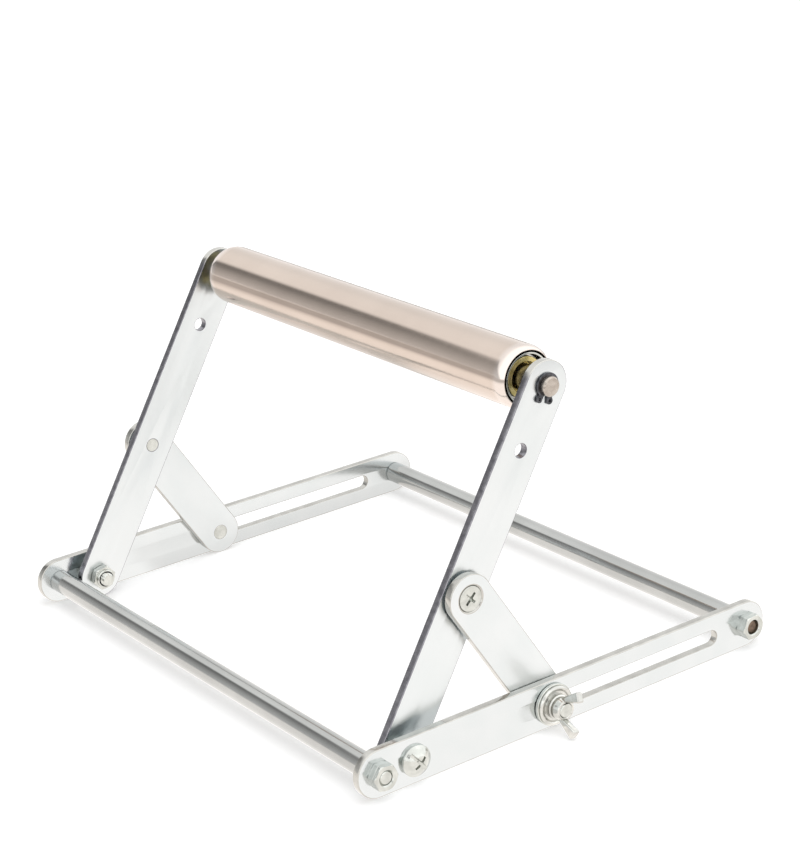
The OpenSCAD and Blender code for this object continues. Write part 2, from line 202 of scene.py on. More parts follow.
def outline(corners: Sequence[Triple], closed: bool = False, steps: int = 5) -> np.ndarray:
    """Polyline of (radius, x) points with its corners rounded.

    A corner of rounding r becomes the arc of radius r that touches both sides: its centre lies on the
    corner's bisector at r over the sine of half the corner's angle. A long side gets a point near each end,
    which keeps its shading flat between them.

    Args:
        corners: Radius, x and rounding of each corner.
        closed: Whether the last corner joins the first.
        steps: Parts of each arc.

    Returns:
        The points as rows of (radius, x).
    """
    at = np.array([corner[:2] for corner in corners], float)
    t = np.linspace(0, 1, steps + 1)[:, None]
    count = len(corners)
    arcs: list[np.ndarray] = []
    for i, (_, _, rounding) in enumerate(corners):
        here = at[i]
        if rounding <= 0 or (not closed and i in (0, count - 1)):
            arcs.append(here[None])
            continue
        back, ahead = (way / np.linalg.norm(way) for way in (at[i - 1] - here, at[(i + 1) % count] - here))
        half = np.arccos(np.clip(back @ ahead, -1, 1)) / 2
        centre = here + (back + ahead) / np.linalg.norm(back + ahead) * rounding / np.sin(half)
        start, end = (here + way * rounding / np.tan(half) - centre for way in (back, ahead))
        swing = np.pi - 2 * half
        arcs.append(centre + (np.sin((1 - t) * swing) * start + np.sin(t * swing) * end) / np.sin(swing))
    rows: list[np.ndarray] = []
    for i, arc in enumerate(arcs):
        rows.append(arc)
        if closed or i < count - 1:
            a, b = arc[-1], arcs[(i + 1) % count][0]
            length = float(np.linalg.norm(b - a))
            if length > LONG_MM:
                rows.append(np.stack([a + (b - a) * SUPPORT_MM / length, b - (b - a) * SUPPORT_MM / length]))
    return np.concatenate(rows)


@dataclass(frozen=True)
class Loop:
    """Closed outline in Y and Z, with the direction that leaves the material at each of its points."""

    points: np.ndarray
    out: np.ndarray

    def inset(self, depth: float) -> np.ndarray:
        """The outline moved into the material by depth."""
        return self.points - self.out * depth

    @staticmethod
    def stadium(first: Pair, second: Pair, radius: float, cols: int = 64, hole: bool = False) -> "Loop":
        """Outline of a bar with round ends: two half circles and their tangents, or a circle if they meet.

        Args:
            first: Centre of the first end.
            second: Centre of the second end.
            radius: Radius of both ends.
            cols: Points round the outline, an even number.
            hole: Whether the material lies outside the outline.

        Returns:
            The outline, counter-clockwise seen from +X.
        """
        along = np.arctan2(second[1] - first[1], second[0] - first[0])
        half = np.linspace(-np.pi / 2, np.pi / 2, cols // 2)
        pair = np.concatenate([along + half, along + half + np.pi])
        angles = turn_angles(cols) if first == second else pair
        out = np.stack([np.cos(angles), np.sin(angles)], axis=-1)
        centre = np.where(np.arange(cols)[:, None] < cols // 2, second, first)
        return Loop(centre + radius * out, -out if hole else out)

    @staticmethod
    def bore(centre: Pair, radius: float, cols: int = 64) -> "Loop":
        """Outline of a round hole."""
        return Loop.stadium(centre, centre, radius, cols, hole=True)

    @staticmethod
    def through(points: np.ndarray) -> "Loop":
        """Outline through counter-clockwise points, each facing square to the way between its neighbours."""
        way = np.roll(points, -1, axis=0) - np.roll(points, 1, axis=0)
        return Loop(points, way @ [[0, -1], [1, 0]] / np.linalg.norm(way, axis=1, keepdims=True))


class Shell:
    """Points and faces of one piece while it is put together, in millimetres, on the right side."""

    def __init__(self) -> None:
        """Starts with no points and no faces."""
        self.points: list[np.ndarray] = []
        self.faces: list[tuple[np.ndarray, int, bool]] = []
        self.count = 0

    def add(self, points: np.ndarray, faces: np.ndarray, finish: int = 0, smooth: bool = True) -> None:
        """Adds one surface.

        Args:
            points: Its points as rows of (x, y, z).
            faces: Point numbers of its faces, counted from its own first point.
            finish: Number of its finish among the piece's finishes.
            smooth: Whether its faces are shaded as one curved surface.
        """
        self.points.append(points.reshape(-1, 3))
        self.faces.append((faces + self.count, finish, smooth))
        self.count += len(self.points[-1])

    def join(self, other: "Shell", move: Callable[[np.ndarray], np.ndarray]) -> None:
        """Adds another shell's surfaces, with its points moved.

        Args:
            other: The other shell.
            move: Function of its points that gives their places here.
        """
        self.faces += [(faces + self.count, finish, smooth) for faces, finish, smooth in other.faces]
        self.points.append(move(np.concatenate(other.points)))
        self.count += other.count

    def sweep(self, loop: Loop, rows: np.ndarray, finish: int = 0) -> None:
        """Carries an outline along rows of (inset, x): point (i, j) is point j moved in by inset i, at x i.

        Args:
            loop: Outline in Y and Z.
            rows: Inset and x of each row.
            finish: Number of the surface's finish.
        """
        flat = loop.points[None] - loop.out[None] * rows[:, :1, None]
        x = np.broadcast_to(rows[:, 1:, None], flat.shape[:2] + (1,))
        self.add(np.concatenate([x, flat], axis=-1), ring_faces(len(rows), len(loop.points)), finish)

    def lathe(
        self,
        rows: np.ndarray,
        axis: Pair,
        cols: int = 96,
        closed: bool = False,
        finish: int = 0,
        limit: Callable[[np.ndarray], np.ndarray] | None = None,
    ) -> None:
        """Turns rows of (radius, x) round an axis along X.

        Args:
            rows: Radius and x of each row.
            axis: Place of the axis.
            cols: Points round the turn.
            closed: Whether the last row meets the first, as on a ring.
            finish: Number of the surface's finish.
            limit: Function of the angles that gives the largest radius at each.
        """
        angles, grid = turn_angles(cols), spread(rows, cols)
        if limit is not None:
            grid[..., 0] = np.minimum(grid[..., 0], limit(angles))
        self.polar(grid, angles, axis, closed, finish)

    def polar(
        self, grid: np.ndarray, angles: np.ndarray, axis: Pair, closed: bool = False, finish: int = 0
    ) -> None:
        """Adds a grid of (radius, x) over rows and angles, each point at (x, y + r cos a, z + r sin a).

        Args:
            grid: Radius and x of each grid point.
            angles: Angle of each column, from +Y towards +Z.
            axis: Place of the axis.
            closed: Whether the last row meets the first.
            finish: Number of the surface's finish.
        """
        points = np.concatenate([grid[..., 1:], around(axis, grid[..., 0], angles)], axis=-1)
        self.add(points, ring_faces(len(grid), len(angles), closed), finish)

    def face(self, loops: Sequence[np.ndarray], x: float) -> None:
        """Fills the flat face at x between an outline and the holes in it.

        Args:
            loops: The outline and then its holes, as rows of (y, z).
            x: Place of the face along X.
        """
        flat = [np.column_stack([loop, np.zeros(len(loop))]).tolist() for loop in loops]
        yz = np.concatenate(loops)
        self.add(np.column_stack([np.full(len(yz), x), yz]), np.array(tessellate_polygon(flat)), smooth=False)

    def build(
        self, name: str, finishes: Sequence[bpy.types.Material], side: Side = Side.RIGHT
    ) -> bpy.types.Object:
        """Makes the piece's object: doubles merged, faces turned outwards, sharp edges marked.

        Args:
            name: Name of the object.
            finishes: Its materials, in the order of the finish numbers.
            side: The left side's pieces are mirrored in X.

        Returns:
            The object, at the origin, with its place in its mesh.
        """
        points = np.concatenate(self.points) * (side.value, 1, 1)
        counts = [len(faces) for faces, _, _ in self.faces]
        corners = np.concatenate([faces.ravel() for faces, _, _ in self.faces])
        sizes = np.repeat([faces.shape[1] for faces, _, _ in self.faces], counts)
        mesh = bpy.data.meshes.new(name)
        mesh.vertices.add(len(points))
        mesh.vertices.foreach_set("co", (points * MM).ravel())
        mesh.loops.add(len(corners))
        mesh.loops.foreach_set("vertex_index", corners)
        mesh.polygons.add(len(sizes))
        mesh.polygons.foreach_set("loop_start", np.concatenate([[0], np.cumsum(sizes)[:-1]]))
        slots = np.repeat([slot for _, slot, _ in self.faces], counts)
        mesh.polygons.foreach_set("material_index", slots)
        mesh.polygons.foreach_set("use_smooth", np.repeat([smooth for _, _, smooth in self.faces], counts))
        mesh.update(calc_edges=True)
        for finish in finishes:
            mesh.materials.append(finish)
        work = bmesh.new()
        work.from_mesh(mesh)
        bmesh.ops.remove_doubles(work, verts=work.verts, dist=MERGE_MM * MM)
        bmesh.ops.recalc_face_normals(work, faces=work.faces)
        work.to_mesh(mesh)
        work.free()
        mesh.set_sharp_from_angle(angle=np.radians(SHARP_DEG))
        piece = bpy.data.objects.new(name, mesh)
        bpy.context.scene.collection.objects.link(piece)
        return piece

    def stand_for(
        self, node: str, name: str, finishes: Sequence["Metal"], side: Side | None = None, first: str = ""
    ) -> None:
        """Builds the piece in a CAD node's place: it rides on the node's body.

        Args:
            node: CAD node whose place it has, without the words for its side.
            name: Name of the piece, without the same words.
            finishes: Its finishes, in the order of the finish numbers.
            side: Its side, if it has one.
            first: Word that both names start with, before the side's.
        """
        where = first + (f"{side.name.lower()}_" if side else "")
        node = where + node
        piece = self.build(where + name, [metal.material() for metal in finishes], side or Side.RIGHT)
        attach(piece, frame["nodes"][node]["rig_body"])
        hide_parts(node)
        low, high = (np.array(corner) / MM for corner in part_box(node))
        points = np.empty(len(piece.data.vertices) * 3)
        piece.data.vertices.foreach_get("co", points)
        points = points.reshape(-1, 3) / MM
        past = np.stack([low - points.min(0), points.max(0) - high])
        size = (past.max(), -past.min(), len(piece.data.polygons))
        LOG.info("%s for %s: %.3f proud, %.3f short, %d faces", piece.name, node, *size)


def ring(radii: Pair, span: Pair, axis: Pair, edge: float) -> Shell:
    """Makes a plain ring with rounded edges, its four-cornered section turned round the axis.

    Args:
        radii: Inner and outer radius.
        span: Lowest and highest x.
        axis: Place of the axis.
        edge: Rounding of its outer corners, twice that of its inner ones.

    Returns:
        The ring's surface.
    """
    (inner, outer), (x0, x1) = radii, span
    corners = [(inner, x0, edge / 2), (outer, x0, edge), (outer, x1, edge), (inner, x1, edge / 2)]
    shell = Shell()
    shell.lathe(outline(corners, closed=True), axis, closed=True)
    return shell


def side_rows(x0: float, x1: float, edge: float, steps: int = 4) -> np.ndarray:
    """Rows up a bar's side with both edges rounded by quarter circles.

    Args:
        x0: Inner face.
        x1: Outer face.
        edge: Radius of the quarter circles.
        steps: Parts of each.

    Returns:
        The rows of (inset, x).
    """
    a = np.linspace(0, np.pi / 2, steps + 1)
    lower = np.column_stack([edge * (1 - np.sin(a)), x0 + edge * (1 - np.cos(a))])
    upper = np.column_stack([edge * (1 - np.cos(a)), x1 - edge * (1 - np.sin(a))])
    return np.concatenate([lower, upper])


def add(
    tree: bpy.types.NodeTree, kind: str, inputs: dict | Sequence[object] = (), **settings: object
) -> bpy.types.Node:
    """Adds a node with its settings and links.

    Args:
        tree: Node tree to add to.
        kind: Type of the node, without the word that all shader nodes start with.
        inputs: Its inputs, by name or number or in their order. Each is a value, an output that feeds the
            input, or a node whose first output does.
        settings: Attributes of the node.

    Returns:
        The node.
    """
    node = tree.nodes.new(f"ShaderNode{kind}")
    for key, value in settings.items():
        setattr(node, key, value)
    for key, value in inputs.items() if isinstance(inputs, dict) else enumerate(inputs):
        source = value.outputs[0] if isinstance(value, bpy.types.Node) else value
        if isinstance(source, bpy.types.NodeSocket):
            tree.links.new(source, node.inputs[key])
        else:
            node.inputs[key].default_value = source
    return node


def cleared(holder: bpy.types.Material | bpy.types.World) -> bpy.types.NodeTree:
    """Gives a new material or world an empty node tree.

    Args:
        holder: The material or world.

    Returns:
        Its node tree.
    """
    holder.use_nodes = True
    holder.node_tree.nodes.clear()
    return holder.node_tree


# Settings and colours that several materials share
SMOOTH = {"interpolation_type": "SMOOTHSTEP"}
WHITE = (1.0, 1.0, 1.0, 1.0)


class Grain(Enum):
    """Way of a finish's fine lines, as the noise's stretch along X, Y and Z: forty times along them."""

    ALONG_BAR = (1.0, 0.025, 1.0)
    ALONG_X = (0.025, 1.0, 1.0)
    ROUND_AXIS = (1.0, 0.025, 0.025)
    NONE = (1.0, 1.0, 1.0)


@dataclass(frozen=True)
class Metal:
    """A metal finish: two close tones in soft clouds, fine lines of its making, and specks in its gloss.

    Towards the ends of an axis the tones may drift to a third one. The slot is not used.
    """

    name: str
    tone: str
    second: str
    roughness: float
    spread: float
    grain: Grain = Grain.NONE
    turn_deg: float = 0.0
    cloud_mm: float = 18.0
    line_mm: float = 0.8
    line_bump_mm: float = 0.0
    wave_mm: float = 9.0
    wave_bump_mm: float = 0.0
    speck_mm: float = 0.7
    anisotropic: float = 0.0
    metallic: float = 1.0
    # Tone that the colour drifts to towards the ends: on the roller tube's ends a painted highlight
    end_tone: str = ""
    end_mm: Pair = (0.0, 0.0)
    end_axis: str = "X"
    slot: str = ""
    # Parts of the noise's range, and of the range of two added noises, that tones and gloss are spread over
    cloud_range: Pair = (0.35, 0.65)
    gloss_range: Pair = (0.6, 1.4)
    least_roughness: float = 0.02

    def material(self) -> bpy.types.Material:
        """The finish's material, made when it is first asked for."""
        return bpy.data.materials.get(self.name) or self._made()

    def _made(self) -> bpy.types.Material:
        """Builds the finish's node material on Object coordinates.

        Returns:
            The material.
        """
        made = bpy.data.materials.new(self.name)
        tree = cleared(made)
        place = add(tree, "TexCoord").outputs["Object"]
        clouds = add(tree, "TexNoise", {"Vector": place, "Scale": per(self.cloud_mm), "Detail": 4.0})
        cloud = add(tree, "MapRange", (clouds, *self.cloud_range, 0.0, 1.0))
        colour = add(tree, "Mix", {0: cloud, 6: linear(self.tone), 7: linear(self.second)}, data_type="RGBA")
        if self.end_tone:
            colour = self._ends(tree, place, colour)
        specks = add(tree, "TexNoise", {"Vector": place, "Scale": per(self.speck_mm), "Detail": 2.0})
        turn = (-np.radians(self.turn_deg), 0.0, 0.0)
        turned = add(tree, "Mapping", {"Vector": place, "Rotation": turn}, vector_type="POINT")
        drawn = add(tree, "Mapping", {"Vector": turned, "Scale": self.grain.value}, vector_type="POINT")
        lines = add(tree, "TexNoise", {"Vector": drawn, "Scale": per(self.line_mm), "Detail": 3.0})
        gloss = add(tree, "Math", (specks, lines), operation="ADD")
        least = max(self.roughness - self.spread, self.least_roughness)
        rough = add(tree, "MapRange", (gloss, *self.gloss_range, least, self.roughness + self.spread))
        waves = add(tree, "TexNoise", {"Vector": place, "Scale": per(self.wave_mm), "Detail": 1.0})
        swell = add(tree, "Bump", {"Strength": 1.0, "Distance": self.wave_bump_mm * MM, "Height": waves})
        relief = {"Strength": 1.0, "Distance": self.line_bump_mm * MM, "Height": lines, "Normal": swell}
        look = {
            "Base Color": colour.outputs[2], "Metallic": self.metallic, "Roughness": rough,
            "Anisotropic": self.anisotropic, "Normal": add(tree, "Bump", relief),
        }
        if self.anisotropic:
            look["Tangent"] = add(tree, "CombineXYZ", (1.0, 0.0, 0.0))
        add(tree, "OutputMaterial", {"Surface": add(tree, "BsdfPrincipled", look)})
        return made

    def _ends(
        self, tree: bpy.types.NodeTree, place: bpy.types.NodeSocket, colour: bpy.types.Node
    ) -> bpy.types.Node:
        """Lets the colour drift to the end tone towards both ends along the end axis.

        Args:
            tree: The material's node tree.
            place: Object coordinates.
            colour: Mix node with the colour away from the ends.

        Returns:
            The mix node with the ends in it.
        """
        along = add(tree, "SeparateXYZ", (place,)).outputs[self.end_axis]
        out = add(tree, "Math", (along,), operation="ABSOLUTE")
        start, end = (x * MM for x in self.end_mm)
        share = add(tree, "MapRange", (out, start, end, 0.0, 1.0), **SMOOTH)
        return add(tree, "Mix", {0: share, 6: colour.outputs[2], 7: linear(self.end_tone)}, data_type="RGBA")


# Bright zinc plate on cold-rolled flat bar: a satin gloss with a cool tint, sharp close by and blurred away
ROLLED = {
    "wave_bump_mm": 0.002, "wave_mm": 16.0, "line_bump_mm": 0.0006, "line_mm": 0.5, "slot": "plated_bar"
}
RAIL_PLATE = Metal("bright_zinc_rolled_rail", "#d0d4d5", "#ccd1d2", 0.17, 0.02, Grain.ALONG_BAR, **ROLLED)
ARM_PLATE = Metal(
    "bright_zinc_rolled_arm", "#d6dadb", "#d2d7d8", 0.29, 0.01, Grain.ALONG_BAR, 90 - PLACE.lean_deg,
    cloud_mm=40.0, slot="plated_bar",
)
BRACE_PLATE = Metal(
    "bright_zinc_rolled_brace", "#d6dadb", "#d2d7d8", 0.32, 0.02, Grain.ALONG_BAR, PLACE.lean_deg - 90,
    **ROLLED,
)
# The same plate, thin on the blanked edges: greyer, with the tool's marks across the thickness
TOOLED = {"line_mm": 1.2, "line_bump_mm": 0.03, "wave_bump_mm": 0.006, "wave_mm": 5.0}
BLANKED_EDGE = Metal(
    "bright_zinc_blanked_edge", "#bebdb8", "#aeada8", 0.20, 0.08, Grain.ALONG_X, cloud_mm=6.0, **TOOLED
)
# The arms' sheared edges: a dark speckled grey, lighter again round the upper ends
SHEARED_EDGE = Metal(
    "thin_zinc_sheared_edge", "#929196", "#76757b", 0.22, 0.08, Grain.ALONG_X, cloud_mm=2.5, **TOOLED,
    end_tone="#bebdb8", end_mm=(142.0, 146.0), end_axis="Z",
)
# Bright drawn round bar under nickel plate: neutral, with long fine lines that soften reflections round it
DRAWN_ROD = Metal(
    "nickel_drawn_rod", "#b6b7b5", "#acadab", 0.15, 0.04, Grain.ALONG_X,
    line_mm=0.5, line_bump_mm=0.006, cloud_mm=30.0, slot="drawn_rod",
)
# Thread ends that stay oily inside their nuts: a dull brown
OILY_END = Metal(
    "oily_thread_end", "#7a6a5c", "#5a4d43", 0.35, 0.10, cloud_mm=1.5, line_mm=0.4, line_bump_mm=0.01
)
# Bright zinc on cold-formed fasteners: clean faces, and forming marks round the flanks that band reflections
FASTENER_PLATE = Metal(
    "bright_zinc_fastener", "#c8cac5", "#b6b8b3", 0.13, 0.05, Grain.ROUND_AXIS, cloud_mm=4.0,
    line_mm=1.2, line_bump_mm=0.45, wave_mm=1.8, wave_bump_mm=0.02, slot="plated_fastener",
)
# Turned steel tube with a clear warm passivation: its fine turning smears reflections along the tube only,
# and its drawn-in ends are painted nearly white, a painted highlight on top of the side light they mirror
TURNED_TUBE = Metal(
    "warm_satin_turned_tube", "#c9bbb0", "#c4b6ab", 0.15, 0.03, Grain.ROUND_AXIS, cloud_mm=26.0,
    line_mm=0.35, line_bump_mm=0.0008, wave_bump_mm=0.003, wave_mm=14.0, anisotropic=0.8,
    end_tone="#d6ccc5", end_mm=(100.0, 104.0), slot="turned_roller",
)
# Yellow passivated zinc: pale gold that drifts to green and straw
YELLOW_ZINC = Metal(
    "yellow_passivated_race", "#cbbc88", "#ad9f62", 0.22, 0.06, Grain.ROUND_AXIS,
    line_mm=0.3, line_bump_mm=0.001, cloud_mm=3.0, wave_bump_mm=0.001, wave_mm=2.0, slot="yellow_zinc",
)
# Black oxide on spring steel: dark grey with an oily sheen
FINE = {"cloud_mm": 2.0, "line_mm": 0.4, "line_bump_mm": 0.004}
BLACK_OXIDE = Metal("black_oxide_spring_steel", "#5c5d61", "#38393c", 0.22, 0.08, **FINE, slot="black_oxide")
# Seats and bores inside the bearing's end, painted almost black: painted shade in the deep gap between tube
# and cup
SEAT_SHADE = Metal("greased_black_seat", "#1c1a18", "#121110", 0.42, 0.10, **FINE)
# Bare drawn sleeve on the shaft: dull grey brown
DULL_SLEEVE = Metal(
    "dull_drawn_sleeve", "#aaa59e", "#8f8a84", 0.30, 0.08, Grain.ALONG_X, **FINE, slot="black_oxide"
)
# Cast zinc wing nut under the same plate as the fasteners: two tones in small clouds, with a soft cast skin
CAST_PLATE = Metal(
    "bright_zinc_cast_wing", "#d0d0cb", "#b2b2ae", 0.14, 0.06,
    cloud_mm=5.0, line_bump_mm=0.01, wave_mm=2.4, wave_bump_mm=0.08, slot="plated_fastener",
)
# Nylon insert of the lock nuts: dull and dark
NYLON_INSERT = Metal(
    "dark_nylon_insert", "#33363a", "#2a2c30", 0.5, 0.08,
    cloud_mm=1.5, line_mm=0.5, line_bump_mm=0.003, metallic=0.0,
)
# Centreless ground shaft: grey steel, its turned ends a satin grey brown
GROUND_SHAFT = Metal(
    "ground_steel_shaft", "#b8b0a7", "#a0978e", 0.28, 0.08, Grain.ROUND_AXIS,
    line_mm=0.3, line_bump_mm=0.003, cloud_mm=2.5, wave_bump_mm=0.004, wave_mm=2.0, slot="ground_shaft",
)
# Hardened bearing steel of the balls behind the races, and their pressed cage
BEARING_STEEL = Metal(
    "polished_bearing_steel", "#b9b7b3", "#adaaa5", 0.12, 0.04, cloud_mm=2.0, line_mm=0.4, line_bump_mm=0.001
)


@dataclass
class Hole:
    """Round or slotted hole through a flat bar, with an edge rounding and an optional countersink."""

    loop: Loop
    edge: float = 0.2
    sink: float = 0.0

    def rows(self, x0: float, x1: float) -> np.ndarray:
        """Rows of (inset, x) from the face at x0 to the one at x1, where inset widens the hole.

        Args:
            x0: Inner face.
            x1: Outer face, where a countersink opens at 45 degrees.

        Returns:
            The rows.
        """
        if not self.sink:
            return side_rows(x0, x1, self.edge)
        e, sink = self.edge, self.sink
        cone = [(0, x1 - sink, e / 2), (sink, x1, e), (sink + 2 * e, x1, 0)]
        return outline([(e, x0, 0), (0, x0 + e, 0), *cone])


@dataclass
class FlatBar:
    """Flat bar with round ends: two mirror-flat faces, and edges rounded by plating and tumbling."""

    x0: float
    x1: float
    rim: Loop
    holes: list[Hole] = field(default_factory=list)
    edge: float = 0.35

    def shell(self) -> Shell:
        """Carries the rim and each hole up the bar's side, and fills both faces between them.

        Returns:
            The bar's surfaces: faces in finish 0, edges in finish 1.
        """
        shell = Shell()
        shell.sweep(self.rim, side_rows(self.x0, self.x1, self.edge), finish=1)
        loops: dict[float, list[np.ndarray]] = {x: [self.rim.inset(self.edge)] for x in (self.x0, self.x1)}
        for hole in self.holes:
            rows = hole.rows(self.x0, self.x1)
            shell.sweep(hole.loop, rows, finish=1)
            loops[self.x0].append(hole.loop.inset(float(rows[0, 0])))
            loops[self.x1].append(hole.loop.inset(float(rows[-1, 0])))
        for x, parts in loops.items():
            shell.face(parts, x)
        return shell


@dataclass(frozen=True)
class HexNut:
    """Hexagon nut with both faces chamfered by a cone, as a ring closed through its bore.

    A lock nut has a rounded collar at its inner end, with a dark insert ring sunk in it.
    """

    seat: float
    axis: Pair
    turn_deg: float
    flat: float = 5.0
    height: float = 4.8
    face_cut: float = 0.7
    face_rise: float = 0.4
    lead_in: float = 0.5
    collar_h: float = 1.25
    collar_cut: float = 0.75
    insert_wall: float = 0.75
    insert_h: float = 1.3
    insert_sink: Pair = (0.35, 0.2)
    corner_power: float = 44.0

    def hexagon(self, angles: np.ndarray) -> np.ndarray:
        """Distance to the flats with softened corners: the three pairs' cosines, in a high-power norm.

        Args:
            angles: Angles round the turn.

        Returns:
            The distance at each angle.
        """
        pairs = np.radians(self.turn_deg) + np.arange(3) * np.pi / 3
        total = (np.abs(np.cos(angles[:, None] - pairs)) ** self.corner_power).sum(1)
        return self.flat / total ** (1 / self.corner_power)

    def shell(self, locking: bool = False) -> Shell:
        """Builds the nut: its side at each angle is the smaller of the hexagon's and the cone's radius.

        Args:
            locking: Whether it is a lock nut.

        Returns:
            The nut's surfaces: metal in finish 0, insert in finish 1.
        """
        corner, collar_r = self.flat / np.cos(np.pi / 6), self.flat - self.collar_cut
        bore, wall = PLACE.thread_r + FIT, PLACE.thread_r + self.insert_wall
        face_r, foot, base, top = corner - self.face_cut, self.seat, self.seat, self.seat + self.height
        start, end = [(bore + self.lead_in, foot, 0.05)], [(bore, foot + self.lead_in, 0.05)]
        if locking:
            base, deep = foot + self.collar_h, foot + self.insert_h
            start = [(wall, foot, 0.1), (collar_r, foot, 0.6), (collar_r, base, 0.15)]
            end = [(bore, deep, 0.05), (wall, deep, 0)]
        sides = [
            *start, (face_r, base, 0), (corner, base + self.face_rise, 0), (corner, top - self.face_rise, 0),
            (face_r, top, 0), (bore + self.lead_in, top, 0.05), (bore, top - self.lead_in, 0.05), *end,
        ]
        shell = Shell()
        shell.lathe(outline(sides, closed=True), self.axis, 192, closed=True, limit=self.hexagon)
        if locking:
            sunk = [(bore, foot + self.insert_sink[0], 0.1), (wall, foot + self.insert_sink[1], 0)]
            insert = outline([*sunk, (wall, deep, 0), (bore, deep, 0)], closed=True)
            shell.lathe(insert, self.axis, closed=True, finish=1)
        return shell


@dataclass(frozen=True)
class CrossRecess:
    """Cross recess of a screw head: four tapering arms round a core, as a star-shaped outline about the axis.

    Two opposite arms can be those of a slot instead, wider and longer than the cross.
    """

    turn_deg: float
    reach: float = 3.0
    half_width: float = 0.55
    core: float = 1.05
    depth: float = 2.0
    taper: float = 0.14
    slot_reach: float = 0.0
    slot_half: float = 0.7
    slot_depth: float = 1.8
    # Rows of the rounded lip: the shares of the rim that they lie inside it, how deep, and the slot's share
    # of that depth
    lip_shares: Pair = (0.012, 0.03)
    lip_drops: Pair = (0.03, 0.12)
    slot_lip_share: float = 0.3
    # The floor's rows as shares of the wall's foot, how much deeper its middle and its point lie, and the
    # radius from which a slot's floor falls to it, over which length
    floor_shares: tuple[float, ...] = (0.75, 0.55, 0.4, 0.25, 0.1)
    middle_drop: float = 0.2
    point_drop: float = 0.3
    fall_from: float = 3.4
    fall_over: float = 1.4

    def arm(self, quarter: int) -> Triple:
        """Reach, half width and depth of the arm in a quarter of the turn."""
        slotted = (self.slot_reach, self.slot_half, self.slot_depth)
        return slotted if quarter % 2 and self.slot_reach else (self.reach, self.half_width, self.depth)

    def offsets(self, quarter: int) -> np.ndarray:
        """Angles across one quarter, from its arm's middle line, that meet each corner of its outline.

        Args:
            quarter: Number of the quarter.

        Returns:
            The angles.
        """
        reach, width, _ = self.arm(quarter)
        corner, inner = np.arctan2(width, reach), np.arcsin(width / self.core)
        spans = ((0, corner, 4), (corner, inner, 9), (inner, np.pi / 4, 4))
        half = np.concatenate([[0.0], *(np.linspace(*span)[1:] for span in spans)])
        return np.concatenate([-half[:0:-1], half[:-1]])

    def angles(self) -> np.ndarray:
        """Angles of all the columns, from +Y towards +Z."""
        return np.concatenate([self.offsets(k) + k * np.pi / 2 for k in range(4)]) + np.radians(self.turn_deg)

    def rim(self) -> tuple[np.ndarray, np.ndarray, np.ndarray]:
        """Outline of the recess: the distance to the arm's end, then to its side, and at least the core.

        Returns:
            Distance to the outline at each angle, the depth of its wall there and whether it is the slot's.
        """
        rims, depths, slotted = [], [], []
        for quarter in range(4):
            reach, width, depth = self.arm(quarter)
            off = np.abs(self.offsets(quarter))
            side = width / np.maximum(np.sin(off), 1e-6)
            rims.append(np.maximum(np.minimum(reach / np.cos(off), side), self.core))
            depths.append(np.full(len(off), depth))
            slotted.append((rims[-1] > self.core) & (reach == self.slot_reach))
        return np.concatenate(rims), np.concatenate(depths), np.concatenate(slotted)

    def screw(
        self,
        body: np.ndarray,
        crown: Callable[[np.ndarray], np.ndarray],
        axis: Pair,
        lead: Sequence[np.ndarray] = (),
    ) -> Shell:
        """Makes a screw: its turned body, a crown that narrows to the cross, and the pointed recess.

        Args:
            body: Rows of (radius, x) from the tail to the head's edge.
            crown: X of the head's surface at a radius.
            axis: Place of the axis.
            lead: Grids of (radius, x) that come before the body, on the cross's angles.

        Returns:
            The screw's surface.
        """
        angles, (rim, deep, slotted) = self.angles(), self.rim()
        edge = body[-1, 0]
        over = edge + (rim - edge) * np.linspace(0, 1, 9)[1:, None]
        lip = rim * (1 - np.array(self.lip_shares)[:, None])
        drop = np.where(slotted, self.slot_lip_share, 1.0) * np.array(self.lip_drops)[:, None]
        top = float(crown(np.zeros(1))[0])
        down = np.linspace(0.1, 1, 6)[:, None]
        wall = rim * (1 - self.lip_shares[-1] - self.taper * down * ~slotted)
        inward = wall[-1:] * np.array(self.floor_shares)[:, None]
        fall = np.clip((self.fall_from - np.concatenate([wall[-1:], inward])) / self.fall_over, 0, 1)
        sunk = deep + (self.depth + self.middle_drop - deep) * fall
        bottom = np.where(slotted, top - sunk, top - self.depth)
        lip_x = crown(rim) - drop
        wall_x = lip_x[-1:] + np.minimum(bottom[:1] - lip_x[-1:], 0) * down
        point = np.full((1, len(angles)), top - self.depth - self.point_drop)
        radius = np.concatenate([over, lip, wall, inward, np.zeros_like(point)])
        x = np.concatenate([crown(over), lip_x, wall_x, bottom[1:], point])
        shell = Shell()
        head = np.stack([radius, x], axis=-1)
        shell.polar(np.concatenate([*lead, spread(body, len(angles)), head]), angles, axis)
        return shell


@dataclass(frozen=True)
class Thread:
    """Screw thread: the radius falls by a clipped triangle wave of x over the pitch less the turn's share."""

    pitch: float = 1.0
    depth: float = 0.5
    steps: int = 10
    # How much steeper than a whole triangle the flanks are, and the share of the depth that the crest loses
    steepness: float = 1.25
    crest: float = 0.12

    def grid(self, x0: float, x1: float, angles: np.ndarray) -> np.ndarray:
        """Rows of the thread over the angles.

        Args:
            x0: Start of the thread.
            x1: End of the thread.
            angles: Angle of each column.

        Returns:
            Grid of (radius, x).
        """
        x = np.linspace(x0, x1, int(round((x1 - x0) / self.pitch * self.steps)) + 1)[:, None]
        wave = np.abs(2 * ((x / self.pitch - angles / (2 * np.pi)) % 1) - 1)
        radius = PLACE.thread_r - self.depth * np.clip(self.steepness * wave - self.crest, 0, 1)
        return np.stack([radius, np.broadcast_to(x, radius.shape)], axis=-1)


